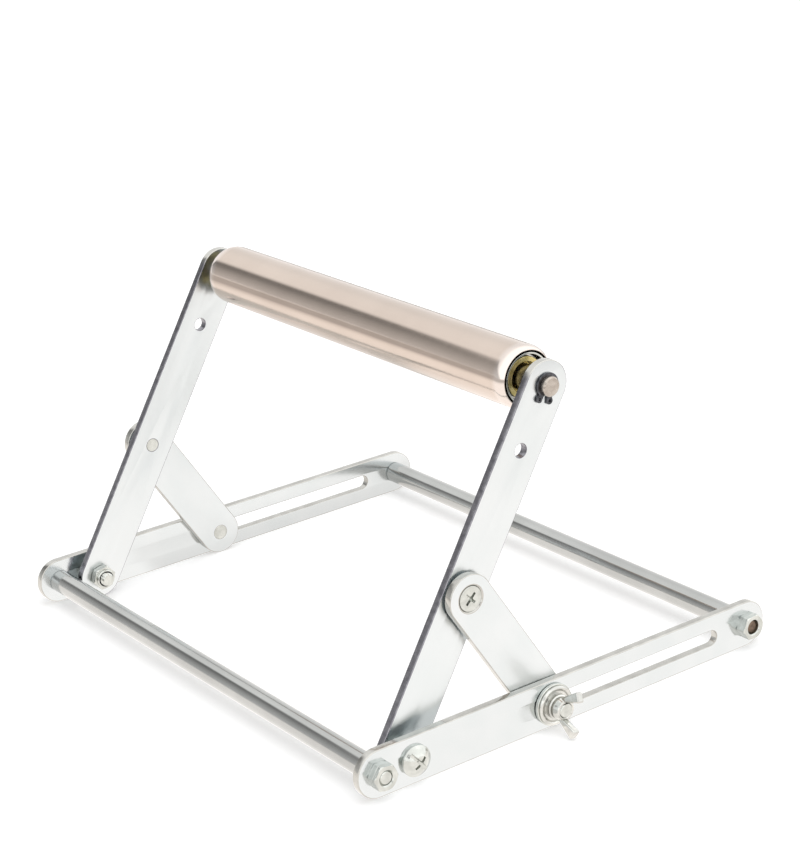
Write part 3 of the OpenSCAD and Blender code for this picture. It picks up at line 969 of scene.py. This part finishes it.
@dataclass
class Rods:
    """Cross rods between the rails."""

    rod_r: float = 5.0
    shoulder: float = 0.5
    chamfer: float = 0.6
    front_tip: float = 131.5
    rear_tip: float = 130.4

    def rod(self, word: str, axis: Pair, tip: float, end: Metal) -> None:
        """Builds one cross rod: full diameter between the rails, turned down to its threaded ends.

        Args:
            word: Word for the rod in its names.
            axis: Place of its axis.
            tip: X of its right end.
            end: Finish of its ends.
        """
        r, x = PLACE.thread_r, PLACE.rail_in
        half = [(self.rod_r, x - self.shoulder, 0.15), (self.rod_r - self.shoulder, x, 0.1), (r, x, 0)]
        shell = Shell()
        shell.lathe(outline(both_ends(half)), axis)
        thread = [(r, x, 0), (r, tip - self.chamfer, 0.12), (r - self.chamfer, tip, 0.1), (0, tip, 0)]
        for sign in (1, -1):
            rows = outline([(radius, sign * at, rounding) for radius, at, rounding in thread])
            shell.lathe(rows, axis, finish=1)
        shell.stand_for("rod", "cross_rod", [DRAWN_ROD, end], first=word)

    def build(self) -> None:
        """Builds both rods."""
        self.rod("front_", FRONT, self.front_tip, FASTENER_PLATE)
        self.rod("rear_", REAR, self.rear_tip, OILY_END)


@dataclass
class Rail:
    """One slotted rail on edge and its two rod nuts."""

    side: Side
    edge: float = 0.4
    rod_hole_r: float = 3.1
    pivot_hole_r: float = 3.02
    slot_r: float = 3.3
    slot_edge: float = 0.3
    front_turn: float = 24.0
    rear_turn: float = 34.0

    def rail(self) -> None:
        """Builds the rail: a stadium plate with two rod holes, the pivot hole and the clamp slot."""
        at = ((FRONT, self.rod_hole_r), (REAR, self.rod_hole_r), (PIVOT, self.pivot_hole_r))
        holes = [Hole(Loop.bore(centre, radius)) for centre, radius in at]
        holes.append(Hole(Loop.stadium(SLOT_FRONT, SLOT_REAR, self.slot_r, hole=True), self.slot_edge))
        rim = Loop.stadium(FRONT, REAR, PLACE.bar_r, 128)
        bar = FlatBar(PLACE.rail_in, PLACE.rail_out, rim, holes, self.edge)
        bar.shell().stand_for("rail", "slotted_rail", [RAIL_PLATE, BLANKED_EDGE], self.side)

    def build(self) -> None:
        """Builds the rail and its nuts."""
        self.rail()
        for word, axis, turn in (("front_", FRONT, self.front_turn), ("rear_", REAR, self.rear_turn)):
            nut = HexNut(PLACE.rail_out, axis, turn).shell()
            nut.stand_for("nut", "hex_nut", [FASTENER_PLATE], self.side, word)


@dataclass(frozen=True)
class Circlip:
    """Spring ring in the shaft's groove, with two eyed lugs beside its gap."""

    x: float = 118.6
    thick: float = 0.8
    turn_deg: float = 11.5
    bore_r: float = 3.85
    band_r: float = 5.2
    lug_at: float = 6.25
    lug_r: float = 1.5
    lug_deg: float = 24.0
    gap_deg: float = 12.0
    eye_r: float = 0.6
    edge: float = 0.1
    eye_edge: float = 0.08
    # Angle from the gap up to which the outline has fine steps, and from which it has coarse ones
    fine_deg: Pair = (42.0, 46.0)

    def shell(self) -> Shell:
        """Builds the ring: at each angle a band from the bore out to the ring's or the lug's far side.

        Returns:
            The circlip's surfaces.
        """
        (fine, coarse), lug = self.fine_deg, np.radians(self.lug_deg)
        near = np.linspace(self.gap_deg, fine, 48)
        sweep = np.radians(np.concatenate([near, np.linspace(coarse, 360 - coarse, 60), 360 - near[::-1]]))
        off = np.minimum(np.abs(sweep - lug), np.abs(sweep - 2 * np.pi + lug))
        within = self.lug_r**2 - (self.lug_at * np.sin(off)) ** 2
        far = np.where(within > 0, self.lug_at * np.cos(off) + np.sqrt(np.maximum(within, 0)), 0)
        down = np.radians(self.turn_deg - 90 - PLACE.lean_deg)
        radius = np.concatenate([np.maximum(far, self.band_r), np.full(len(sweep), self.bore_r)])
        rim = Loop.through(around(SHAFT, radius, np.concatenate([sweep, sweep[::-1]]) + down))
        centres = [tuple(around(SHAFT, self.lug_at, angle).tolist()) for angle in (down + lug, down - lug)]
        eyes = [Hole(Loop.bore(centre, self.eye_r, 32), self.eye_edge) for centre in centres]
        return FlatBar(self.x, self.x + self.thick, rim, eyes, self.edge).shell()


@dataclass(frozen=True)
class Bearing:
    """Sizes of a bearing: a cup pressed in the tube and a cone race on the shaft, both grooved for balls."""

    ball_x: float = 101.6
    ring_r: float = 8.45
    groove_r: float = 1.65
    groove_deg: float = 59.0
    inner_x: float = 98.8
    sleeve_r: float = 5.4
    # Race: the cone's outside, and the flange's outside, mouth, face and thickness
    cone_r: float = 7.6
    flange_r: float = 8.5
    mouth_r: float = 6.45
    face_x: float = 105.55
    flange_t: float = 1.0
    # Cup: its outside, bore and outer end, and the thin rim's radii, foot and edge
    cup_r: float = 11.28
    cup_bore_r: float = 9.3
    cup_x: float = 103.25
    rim_r: float = 10.4
    rim_bore_r: float = 9.75
    rim_x: float = 103.8
    rim_edge: float = 0.05

    def groove(self, middle_deg: float) -> list[Triple]:
        """Corners round a ball groove, at angles about its middle as seen from the balls' centres."""
        a = np.radians(np.linspace(middle_deg + self.groove_deg, middle_deg - self.groove_deg, 13))
        return np.column_stack([around((self.ring_r, self.ball_x), self.groove_r, a), 0 * a]).tolist()


BEARING = Bearing()


@dataclass
class Arm:
    """One arm with its pivot screw and lock nut, its brace screw, and what sits on the shaft beside it."""

    side: Side
    pivot_hole_r: float = 3.06
    spare_hole_r: float = 2.9
    # Pivot screw: the pan head's outside, seat, rim's start and end, height, and the crown's foot and rise
    pan_r: float = 6.5
    pan_seat_r: float = 5.9
    pan_rim: Pair = (0.9, 1.6)
    pan_h: float = 4.4
    crown_r: float = 6.0
    crown_h: float = 2.5
    slot_reach: float = 5.25
    pan_turn_deg: float = 39.0
    # Lock nut: its inner end and turn, how far the screw's tail stands out of it and the thread runs into it,
    # and the tail's chamfer, its points out from the axis and up from the end
    nut_x: float = 109.95
    nut_turn_deg: float = 40.0
    tail: float = 2.0
    thread_in: float = 1.0
    tip: tuple[Pair, Pair] = ((2.4, 0.0), (2.55, 0.3))
    tip_len: float = 0.5
    # Brace screw: the countersunk head's outside, its edge's height, its flat rim's width, and how far it
    # lies inside the brace's face
    head_r: float = 5.2
    head_edge: float = 0.3
    head_rim: float = 0.8
    head_sink: float = 0.1
    head_turn_deg: float = 44.0

    def arm(self) -> None:
        """Builds the arm: a leaning stadium plate with its pivot, brace, spare and shaft holes."""
        at = (
            (PIVOT, self.pivot_hole_r), (HINGE, PLACE.thread_r + FIT),
            (SPARE, self.spare_hole_r), (SHAFT, PLACE.shaft_r + FIT),
        )
        holes = [Hole(Loop.bore(centre, radius)) for centre, radius in at]
        bar = FlatBar(PLACE.arm_in, PLACE.arm_out, Loop.stadium(PIVOT, SHAFT, PLACE.bar_r, 128), holes)
        bar.shell().stand_for("arm", "roller_arm", [ARM_PLATE, SHEARED_EDGE], self.side)

    def pivot(self) -> None:
        """Builds the pivot: a pan-head screw from outside the rail and a lock nut inside the arm."""
        r, seat, end = PLACE.thread_r, PLACE.rail_out, self.nut_x - self.tail
        dome_r = (self.crown_r**2 + self.crown_h**2) / (2 * self.crown_h)
        recess = CrossRecess(self.pan_turn_deg, slot_reach=self.slot_reach)
        angles = recess.angles()

        def crown(radius: np.ndarray) -> np.ndarray:
            """Height of the head's dome, a sphere's cap."""
            return seat + self.pan_h - dome_r + np.sqrt(dome_r**2 - radius**2)

        (nose, _), (foot, rise) = self.tip
        tip = outline([(0, end, 0), (nose, end, 0.1), (foot, end + rise, 0)])
        thread = Thread().grid(end + self.tip_len, self.nut_x + self.thread_in, angles)
        body = outline(
            [
                (r, self.nut_x + self.thread_in + 0.2, 0), (r, seat, 0.1), (self.pan_seat_r, seat, 0.15),
                (self.pan_r, seat + self.pan_rim[0], 0.4), (self.pan_r, seat + self.pan_rim[1], 0.35),
                (self.crown_r, float(crown(np.array([self.crown_r]))[0]), 0),
            ]
        )
        screw = recess.screw(body, crown, PIVOT, (spread(tip, len(angles)), thread))
        screw.stand_for("pivot_screw", "pan_head_screw", [FASTENER_PLATE], self.side)
        nut = HexNut(self.nut_x, PIVOT, self.nut_turn_deg).shell(locking=True)
        nut.stand_for("pivot_nut", "lock_nut", [FASTENER_PLATE, NYLON_INSERT], self.side)

    def brace_screw(self) -> None:
        """Builds the countersunk screw, flat-headed and flush in its brace."""
        r, face = PLACE.thread_r, PLACE.brace_out - self.head_sink
        under = face - self.head_edge
        rows = outline(
            [
                (0, PLACE.arm_in, 0), (r, PLACE.arm_in, 0.15), (r, under - self.head_r + r, 0.3),
                (self.head_r, under, 0.08), (self.head_r, face, 0.25), (self.head_r - self.head_rim, face, 0),
            ]
        )
        recess = CrossRecess(self.head_turn_deg)
        shell = recess.screw(rows, lambda radius: np.full(radius.shape, face), HINGE)
        shell.stand_for("brace_screw", "countersunk_screw", [FASTENER_PLATE], self.side)

    def race(self) -> None:
        """Builds the inner race: a cone with a ball groove, a flange and a wide mouth."""
        b, bore = BEARING, PLACE.shaft_r + FIT
        flange_x = b.face_x - b.flange_t
        rows = [
            (bore, b.inner_x, 0.1), (b.cone_r, b.inner_x, 0.2), *b.groove(180.0), (b.cone_r, flange_x, 0.1),
            (b.flange_r, flange_x, 0.15), (b.flange_r, b.face_x, 0.25), (b.mouth_r, b.face_x, 0.25),
            (b.mouth_r, b.ball_x, 0.3), (bore, b.ball_x, 0.1),
        ]
        shell = Shell()
        shell.lathe(outline(rows, closed=True), SHAFT, 128, closed=True)
        shell.stand_for("inner_race", "cone_race", [YELLOW_ZINC], self.side)

    def build(self) -> None:
        """Builds the arm, its screws and nut, and the race, sleeve and circlip on the shaft."""
        self.arm()
        self.pivot()
        self.brace_screw()
        Circlip().shell().stand_for("circlip", "eyed_circlip", [BLACK_OXIDE] * 2, self.side)
        sleeve = ring((PLACE.shaft_r + FIT, BEARING.sleeve_r), (BEARING.ball_x, PLACE.arm_in), SHAFT, 0.2)
        sleeve.stand_for("sleeve", "shaft_sleeve", [DULL_SLEEVE], self.side)
        self.race()


@dataclass
class Shaft:
    """Fixed shaft between the arms."""

    end: float = 121.8
    chamfer: float = 0.6
    groove_depth: float = 0.2
    groove_spare: float = 0.05

    def build(self) -> None:
        """Builds the shaft: grooved outside the arms and chamfered at both ends."""
        r, clip = PLACE.shaft_r, Circlip()
        g0, g1 = clip.x - self.groove_spare, clip.x + clip.thick + self.groove_spare
        gr = r - self.groove_depth
        half = [
            (r, g0, 0), (gr, g0, 0), (gr, g1, 0), (r, g1, 0.04),
            (r, self.end - self.chamfer, 0.12), (r - self.chamfer, self.end, 0.12), (0, self.end, 0),
        ]
        shell = Shell()
        shell.lathe(outline(both_ends(half)), SHAFT)
        shell.stand_for("roller_shaft", "fixed_shaft", [GROUND_SHAFT])


@dataclass
class Brace:
    """One brace down to the rail's slot, its clamp stud, and the washer and wing nut that clamp it."""

    side: Side
    sink: float = 2.66
    bore_r: float = 3.06
    stud_hole_r: float = 3.52
    stud_hole_edge: float = 0.1
    # Stud: the riveted head's outside, the mark in its middle, and the end's chamfer back from the tip
    stud_head_r: float = 3.5
    mark: tuple[Triple, ...] = ((0, 0.02, 0), (2.3, 0.1, 0.4), (3.0, 0, 0.3))
    stud_tip: float = 136.0
    tip: tuple[Pair, Pair] = ((2.9, 0.3), (2.75, 0.0))
    tip_len: float = 0.5
    washer_x: Pair = (127.25, 128.85)
    washer_r: float = 8.8
    # Wing nut: the seat and the top, the radii of flange and barrel, the flange's steps, in from its rim and
    # up from the seat, the barrel's, out from its side and up, each with its rounding, and the top's radii
    nut_x: Pair = (128.9, 135.7)
    flange_r: float = 8.25
    barrel_r: float = 4.8
    flange_steps: tuple[Triple, ...] = ((0, 0, 0.25), (0, 0.8, 0.4), (0.9, 1.5, 0.6), (2.1, 0.5, 0.3))
    barrel_steps: tuple[Triple, ...] = (
        (0.4, 0.5, 0.15), (0.3, 2.4, 0.3), (-0.15, 2.7, 0.15), (-0.1, 4.2, 0.4)
    )
    top_r: Pair = (4.1, 3.3)
    # Wings: the tip's height, width and clearance to the bench, the thickness, the corners' radius, the
    # edges' rounding, the splay, the root's lowest and highest place, and the turns of both wings
    wing_h: float = 14.6
    wing_w: float = 4.4
    wing_clear: float = 0.4
    wing_t: float = 3.0
    wing_corner: float = 0.8
    wing_edge: float = 0.7
    splay_deg: float = 30.0
    wing_root: Pair = (2.0, 6.8)
    wing_turns: Pair = (77.0, 257.0)

    def brace(self) -> None:
        """Builds the brace: a short stadium plate, countersunk at its upper end."""
        upper = Hole(Loop.bore(HINGE, self.bore_r, 96), sink=self.sink)
        lower = Hole(Loop.bore(STUD, self.stud_hole_r), self.stud_hole_edge)
        rim = Loop.stadium(HINGE, STUD, PLACE.bar_r, 128)
        bar = FlatBar(PLACE.brace_in, PLACE.brace_out, rim, [upper, lower])
        bar.shell().stand_for("brace", "brace_bar", [BRACE_PLATE, BLANKED_EDGE], self.side)

    def stud(self) -> None:
        """Builds the clamp stud: a flush riveted head in the brace and a threaded end through the slot."""
        x0, x1, head_r, angles = PLACE.brace_in, PLACE.brace_out, self.stud_head_r, turn_angles(96)
        head = [(r, x0 + x, e) for r, x, e in self.mark]
        start = outline([*head, (head_r, x0, 0.1), (head_r, x1, 0.05), (PLACE.thread_r, x1, 0)])
        thread = Thread().grid(PLACE.rail_out, self.stud_tip - self.tip_len, angles)
        (foot, back), (nose, _) = self.tip
        tip = outline([(foot, self.stud_tip - back, 0), (nose, self.stud_tip, 0.12), (0, self.stud_tip, 0)])
        shell = Shell()
        shell.polar(np.concatenate([spread(start, 96), thread, spread(tip, 96)]), angles, STUD)
        shell.stand_for("clamp_stud", "threaded_stud", [FASTENER_PLATE], self.side)

    def wing_nut(self) -> None:
        """Builds the wing nut: a dished flange and barrel turned as one ring, and two upswept wings."""
        seat, top = self.nut_x
        rows = [
            (self.bore_r, seat, 0.1),
            *((self.flange_r - inward, seat + up, rounding) for inward, up, rounding in self.flange_steps),
            *((self.barrel_r + out, seat + up, rounding) for out, up, rounding in self.barrel_steps),
            (self.top_r[0], top, 0.5), (self.top_r[1], top, 0.08), (self.bore_r, top - 0.2, 0.05),
        ]
        shell = Shell()
        shell.lathe(outline(rows, closed=True), STUD, closed=True)
        for turn_deg in self.wing_turns:
            self.wing(shell, np.radians(turn_deg))
        shell.stand_for("wing_nut", "cast_wing_nut", [CAST_PLATE], self.side)

    def wing(self, shell: Shell, turn: float) -> None:
        """Adds one wing: a slab with its root in the barrel and a squared tip, drawn in its own plane.

        Its outline in (height, radius) runs from the root round two quarter circles at the tip, and quarter
        circles round its edges off.

        Args:
            shell: Shell to add to.
            turn: Direction of the wing from +Y towards +Z.
        """
        corner, splay, thick = self.wing_corner, np.radians(self.splay_deg), self.wing_t / 2
        half, lean = self.wing_w / 2 - corner, np.array([np.sin(splay), -np.cos(splay)])
        tip = np.array([self.wing_h, PLACE.axis_z - self.wing_clear]) - corner - half * np.abs(lean)
        swing = np.linspace(0, np.pi / 2, 7)
        low, high = (corner * around((0, 0), 1.0, angle + swing) for angle in (splay - np.pi / 2, splay))
        inner = self.barrel_r - thick
        (foot, head), ends = self.wing_root, [tip + half * lean + low, tip - half * lean + high]
        rim = Loop.through(np.concatenate([[[head, inner]], *ends, [[foot, inner]]]))
        slab = FlatBar(-thick, thick, rim, edge=self.wing_edge)
        out, across = (np.cos(turn), np.sin(turn)), (-np.sin(turn), np.cos(turn))

        def stood_up(points: np.ndarray) -> np.ndarray:
            """Places of the slab's points when its plane holds the nut's axis and the wing's direction."""
            off, height, radius = points.T[..., None]
            return np.column_stack([self.nut_x[0] + height, np.array(STUD) + radius * out + off * across])

        shell.join(slab.shell(), stood_up)

    def build(self) -> None:
        """Builds the brace and its clamp."""
        self.brace()
        self.stud()
        washer = ring((self.bore_r, self.washer_r), self.washer_x, STUD, 0.3)
        washer.stand_for("clamp_washer", "flat_washer", [FASTENER_PLATE], self.side)
        self.wing_nut()


@dataclass
class Roller:
    """Roller tube with drawn-in ends and the bearing cups pressed in them."""

    outer_r: float = 13.0
    bore_r: float = 11.3
    nose_len: float = 4.5
    drop: float = 1.45

    def tube(self) -> None:
        """Builds the tube: each end follows a circle's arc from the full radius down to a thin lip."""
        end = PLACE.roller_end
        bend = (self.nose_len**2 + self.drop**2) / 2 / self.drop
        along = np.linspace(0, self.nose_len, 17)[:-1]
        arc = (self.outer_r - bend + np.sqrt(bend**2 - along**2), end - self.nose_len + along, 0 * along)
        half = [*np.column_stack(arc).tolist(), (self.outer_r - self.drop, end, 0.08), (self.bore_r, end, 0)]
        shell = Shell()
        shell.lathe(outline(both_ends(half)), SHAFT, 192)
        # The bore is painted almost black, as painted shade inside the bearing's end
        shell.lathe(outline(both_ends([(self.bore_r, end, 0)])), SHAFT, 192, finish=1)
        shell.stand_for("roller_tube", "satin_roller_tube", [TURNED_TUBE, SEAT_SHADE])

    def cup(self, side: Side) -> None:
        """Builds one bearing cup: grooved for the balls, with a thin rim at the tube's end.

        Args:
            side: Its side.
        """
        b, end = BEARING, PLACE.roller_end
        foot, heel = (b.rim_r, b.rim_x, 0), (b.rim_bore_r, b.cup_x, 0)
        top = [(b.rim_r, end - b.rim_edge, 0.03), (b.rim_r - b.rim_edge, end, 0.03)]
        top += [(b.rim_bore_r, end, 0.06)]
        seat = [
            (b.cup_bore_r, b.cup_x, 0.1), *b.groove(0.0), (b.cup_bore_r, b.inner_x, 0.1),
            (b.cup_r, b.inner_x, 0.2), (b.cup_r, b.rim_x, 0.2),
        ]
        shell = Shell()
        shell.lathe(outline([foot, *top, heel]), SHAFT, 128)
        # The cup's groove and its seat in the tube are painted almost black, as painted shade
        shell.lathe(outline([heel, *seat, foot]), SHAFT, 128, finish=1)
        shell.stand_for("bearing_cup", "pressed_cup", [FASTENER_PLATE, SEAT_SHADE], side)

    def build(self) -> None:
        """Builds the tube and both cups."""
        self.tube()
        for side in Side:
            self.cup(side)


def dress_hidden() -> None:
    """Gives the CAD nodes that stay, inside or behind the others, their finishes."""
    kept = {"pivot_spacer": FASTENER_PLATE, "brace_washer": FASTENER_PLATE}
    kept |= {"ball_set": BEARING_STEEL, "ball_cage": BEARING_STEEL}
    for side in Side:
        for part, metal in kept.items():
            node = frame["nodes"][f"{side.name.lower()}_{part}"]
            node.data.materials.clear()
            node.data.materials.append(metal.material())
            LOG.info("%s keeps its CAD mesh", node.name)


def angle_ramp(
    tree: bpy.types.NodeTree, front: bpy.types.Node, up: bpy.types.Node | bpy.types.NodeSocket, stops: Stops
) -> bpy.types.Node:
    """Level that follows the angle about X, 0 straight up and 90 degrees at the front.

    Args:
        tree: Node tree to add to.
        front: Part of the direction that points to the front.
        up: Part of it that points up.
        stops: Angle in degrees and level of each stop.

    Returns:
        The node with the level.
    """
    turn = add(tree, "Math", (front, up), operation="ARCTAN2")
    ramp = add(tree, "ValToRGB", (add(tree, "MapRange", (turn, -np.pi / 2, np.pi / 2, 0.0, 1.0)),))
    for i, (angle, grey) in enumerate(stops):
        at = (angle + 90) / 180
        stop = ramp.color_ramp.elements[i] if i < 2 else ramp.color_ramp.elements.new(at)
        stop.position, stop.color = at, (grey, grey, grey, 1.0)
    return ramp


def mirrored_ray(tree: bpy.types.NodeTree) -> bpy.types.Node:
    """Level that is 1 for a ray that metal mirrors, and 0 for a ray of the camera or of diffuse light."""
    path = add(tree, "LightPath").outputs
    return add(tree, "Math", (path["Is Glossy Ray"], path["Is Transmission Ray"]), operation="MAXIMUM")


def sheet(name: str, finish: str, corners: Sequence[Triple]) -> tuple[bpy.types.Object, bpy.types.NodeTree]:
    """Makes a flat four-cornered piece of the set.

    Args:
        name: Name of the piece.
        finish: Name of its material.
        corners: Its corners in millimetres.

    Returns:
        The piece, and its material's empty node tree.
    """
    made = bpy.data.materials.new(finish)
    shell = Shell()
    shell.add(np.array(corners), np.array([[0, 1, 2, 3]]), smooth=False)
    return shell.build(name, [made]), cleared(made)


@dataclass
class Studio:
    """Pale floor, soft light from above, and the surroundings that the metal mirrors."""

    # Camera: its place, the directions of its axes, and the focal length in pixels of its frame
    camera_mm: Triple = (783.1289, -532.0931, 435.2826)
    right: Triple = (0.59016567, 0.80463379, -0.0653372)
    up: Triple = (-0.24245733, 0.25386582, 0.93635815)
    forward: Triple = (-0.77001229, 0.53676495, -0.34491225)
    focal_px: float = 2355.8415
    frame_px: float = 867.0
    sensor_mm: float = 36.0
    # Mirrored sky by angle about X, as the roller and the rods show it: almost even above and behind
    sky_stops: Stops = ((-90, 1.0), (-75, 0.92), (-60, 0.86), (-35, 0.88), (-18, 0.95), (0, 0.98), (90, 0.98))
    mirrored_sky: float = 1.32
    sky_light: float = 0.62
    # Stronger light from the right, above the camera, by the direction's share along X, that the drawn-in end
    # mirrors
    side_light: Pair = (-0.55, -0.25)
    side_level: float = 1.32
    # Small dark flag beside the camera, that the nuts' flanks and the heads' rims mirror
    flag_toward: Triple = (0.77, -0.50, 0.43)
    flag_deg: Pair = (5.0, 15.0)
    flag_level: float = 0.35
    # Dark card whose edge the roller and both rods mirror: y and z of that edge and of the far one, x of its
    # left end and of the stretch over which it opens at the right, and its levels by angle about X from the
    # roller
    card_edge: Pair = (-194.0, 536.0)
    card_far: Pair = (-5990.0, 1.0)
    card_left: float = -6000.0
    card_right: Pair = (-550.0, -330.0)
    card_stops: Stops = (
        (26, 0.98), (29, 0.80), (33, 0.58), (37, 0.22), (45, 0.22),
        (53, 0.30), (61, 0.39), (77, 0.53), (90, 0.62),
    )
    # Warm white floor, which the plate's cool tint turns neutral: its levels as metal mirrors it by the
    # distance from a centre in metres, the stand's soft shade on it along X and Y in metres, and its glow and
    # its paper's colour as the camera sees them
    floor_reach: float = 6000.0
    floor_tint: tuple[float, ...] = (1.0, 0.962, 0.935, 1.0)
    floor_centre: Triple = (0.15, 0.10, 0.0)
    floor_span: Pair = (0.5, 1.0)
    floor_levels: Pair = (1.45, 0.74)
    shade_spans: tuple[Pair, Pair] = ((-0.06, -0.16), (-0.052, -0.040))
    shade_depth: float = 0.27
    floor_seen: float = 0.4
    floor_paper: str = "#e4e4e4"
    # Lamp: its strength, the width of its light and its turn about X and Y
    lamp_strength: float = 1.2
    lamp_deg: float = 60.0
    lamp_turn_deg: Pair = (-8.0, 9.0)

    def camera(self) -> None:
        """Sets the camera where the photograph was taken: its axes are the columns right, up and backward."""
        data = bpy.data.cameras.new("photo_camera")
        data.sensor_width = self.sensor_mm
        data.lens = self.focal_px / self.frame_px * self.sensor_mm
        data.clip_start = 10 * MM
        eye = bpy.data.objects.new("photo_camera", data)
        turn = np.eye(4)
        turn[:3, :3] = np.column_stack([self.right, self.up, -np.array(self.forward)])
        turn[:3, 3] = np.array(self.camera_mm) * MM
        eye.matrix_world = Matrix(turn.tolist())
        bpy.context.scene.collection.objects.link(eye)
        bpy.context.scene.camera = eye

    def surroundings(self) -> None:
        """Builds the world: plain light, white to the camera, and the sky and flag that metal mirrors."""
        world = bpy.data.worlds.new("studio")
        tree = cleared(world)
        way = add(tree, "TexCoord").outputs["Generated"]
        parts = add(tree, "SeparateXYZ", (way,)).outputs
        front = add(tree, "Math", (parts["Y"], -1.0), operation="MULTIPLY")
        sky = angle_ramp(tree, front, parts["Z"], self.sky_stops)
        side = (parts["X"], *self.side_light, sky, self.side_level)
        lit = add(tree, "MapRange", side, **SMOOTH)
        toward = np.array(self.flag_toward) / np.linalg.norm(self.flag_toward)
        facing = add(tree, "VectorMath", (way, tuple(toward.tolist())), operation="DOT_PRODUCT")
        near, far = np.cos(np.radians(self.flag_deg)).tolist()
        span = (facing.outputs["Value"], far, near, self.mirrored_sky, self.flag_level)
        flag = add(tree, "MapRange", span, **SMOOTH)
        seen = add(tree, "Math", (lit, flag), operation="MULTIPLY")
        both = add(tree, "Mix", {0: mirrored_ray(tree), 2: self.sky_light, 3: seen}, data_type="FLOAT")
        camera = add(tree, "LightPath").outputs["Is Camera Ray"]
        shown = add(tree, "Mix", {0: camera, 2: both, 3: 1.0}, data_type="FLOAT")
        add(tree, "OutputWorld", {"Surface": add(tree, "Background", {"Color": WHITE, "Strength": shown})})
        bpy.context.scene.world = world

    def floor(self) -> None:
        """Lays the floor at the bench height, white to the camera where no shadow falls."""
        far = self.floor_reach
        corners = [(-far, -far, 0), (far, -far, 0), (far, far, 0), (-far, far, 0)]
        piece, tree = sheet("floor", "pale_floor", corners)
        place = add(tree, "TexCoord").outputs["Object"]
        away = add(tree, "VectorMath", (place, self.floor_centre), operation="DISTANCE").outputs["Value"]
        level = add(tree, "MapRange", (away, *self.floor_span, *self.floor_levels), **SMOOTH)
        parts = add(tree, "SeparateXYZ", (place,)).outputs
        spans = enumerate(self.shade_spans)
        shade = [add(tree, "MapRange", (parts[i], *span, 0.0, 1.0), **SMOOTH) for i, span in spans]
        both = add(tree, "Math", shade, operation="MULTIPLY")
        left = add(tree, "Math", (both, -self.shade_depth, 1.0), operation="MULTIPLY_ADD")
        glow = add(tree, "Math", (level, left), operation="MULTIPLY")
        camera = add(tree, "LightPath").outputs["Is Camera Ray"]
        seen = add(tree, "Math", (camera, self.floor_seen), operation="MULTIPLY")
        paper = add(tree, "BsdfDiffuse", {"Color": linear(self.floor_paper)})
        plain = add(tree, "AddShader", (paper, add(tree, "Emission", {"Color": WHITE, "Strength": seen})))
        warm = add(tree, "Emission", {"Color": self.floor_tint, "Strength": glow})
        add(tree, "OutputMaterial", {"Surface": add(tree, "MixShader", (mirrored_ray(tree), plain, warm))})

    def card(self) -> None:
        """Hangs the dark card in front of the overhead light, that only metal mirrors.

        It runs from its edge above the front rod out to the floor far in front. Its level follows the angle
        about X as seen from the roller: darkest near its edge, slowly brighter towards the floor, and open at
        its right end.
        """
        x0, x1 = self.card_left, self.card_right[1]
        near, far = self.card_edge, self.card_far
        corners = [(x0, *near), (x1, *near), (x1, *far), (x0, *far)]
        piece, tree = sheet("dark_card", "dark_card", corners)
        parts = add(tree, "SeparateXYZ", (add(tree, "TexCoord").outputs["Object"],)).outputs
        front = add(tree, "Math", (parts["Y"], -1.0), operation="MULTIPLY")
        above = add(tree, "Math", (parts["Z"], SHAFT[1] * MM), operation="SUBTRACT")
        shade = angle_ramp(tree, front, above, self.card_stops)
        dark = add(tree, "Math", (shade, self.mirrored_sky), operation="MULTIPLY")
        ends = (x * MM for x in self.card_right)
        level = add(tree, "MapRange", (parts["X"], *ends, dark, self.mirrored_sky), **SMOOTH)
        add(tree, "OutputMaterial", {"Surface": add(tree, "Emission", {"Color": WHITE, "Strength": level})})
        piece.visible_camera = piece.visible_diffuse = piece.visible_shadow = False

    def lamp(self) -> None:
        """Hangs one wide soft lamp far above the object; metal doesn't mirror it."""
        data = bpy.data.lights.new("soft_sky_lamp", "SUN")
        data.angle = np.radians(self.lamp_deg)
        data.energy = self.lamp_strength
        box = bpy.data.objects.new("soft_sky_lamp", data)
        box.rotation_euler = (*np.radians(self.lamp_turn_deg), 0)
        box.visible_glossy = False
        bpy.context.scene.collection.objects.link(box)

    def build(self) -> None:
        """Sets colour handling, the light paths that deep mirrors need, and builds the set."""
        scene = bpy.context.scene
        scene.view_settings.view_transform = "Standard"
        scene.cycles.max_bounces = 16
        scene.cycles.glossy_bounces = 14
        self.camera()
        self.surroundings()
        self.floor()
        self.card()
        self.lamp()


def main() -> None:
    """Builds the set and every sub-assembly in order, and reports each piece."""
    logging.basicConfig(level=logging.INFO, format="%(message)s")
    parts = (Studio(), Rods(), *map(Rail, Side), Shaft(), *map(Arm, Side), *map(Brace, Side), Roller())
    for part in parts:
        part.build()
    dress_hidden()


if __name__ == "__main__":
    main()
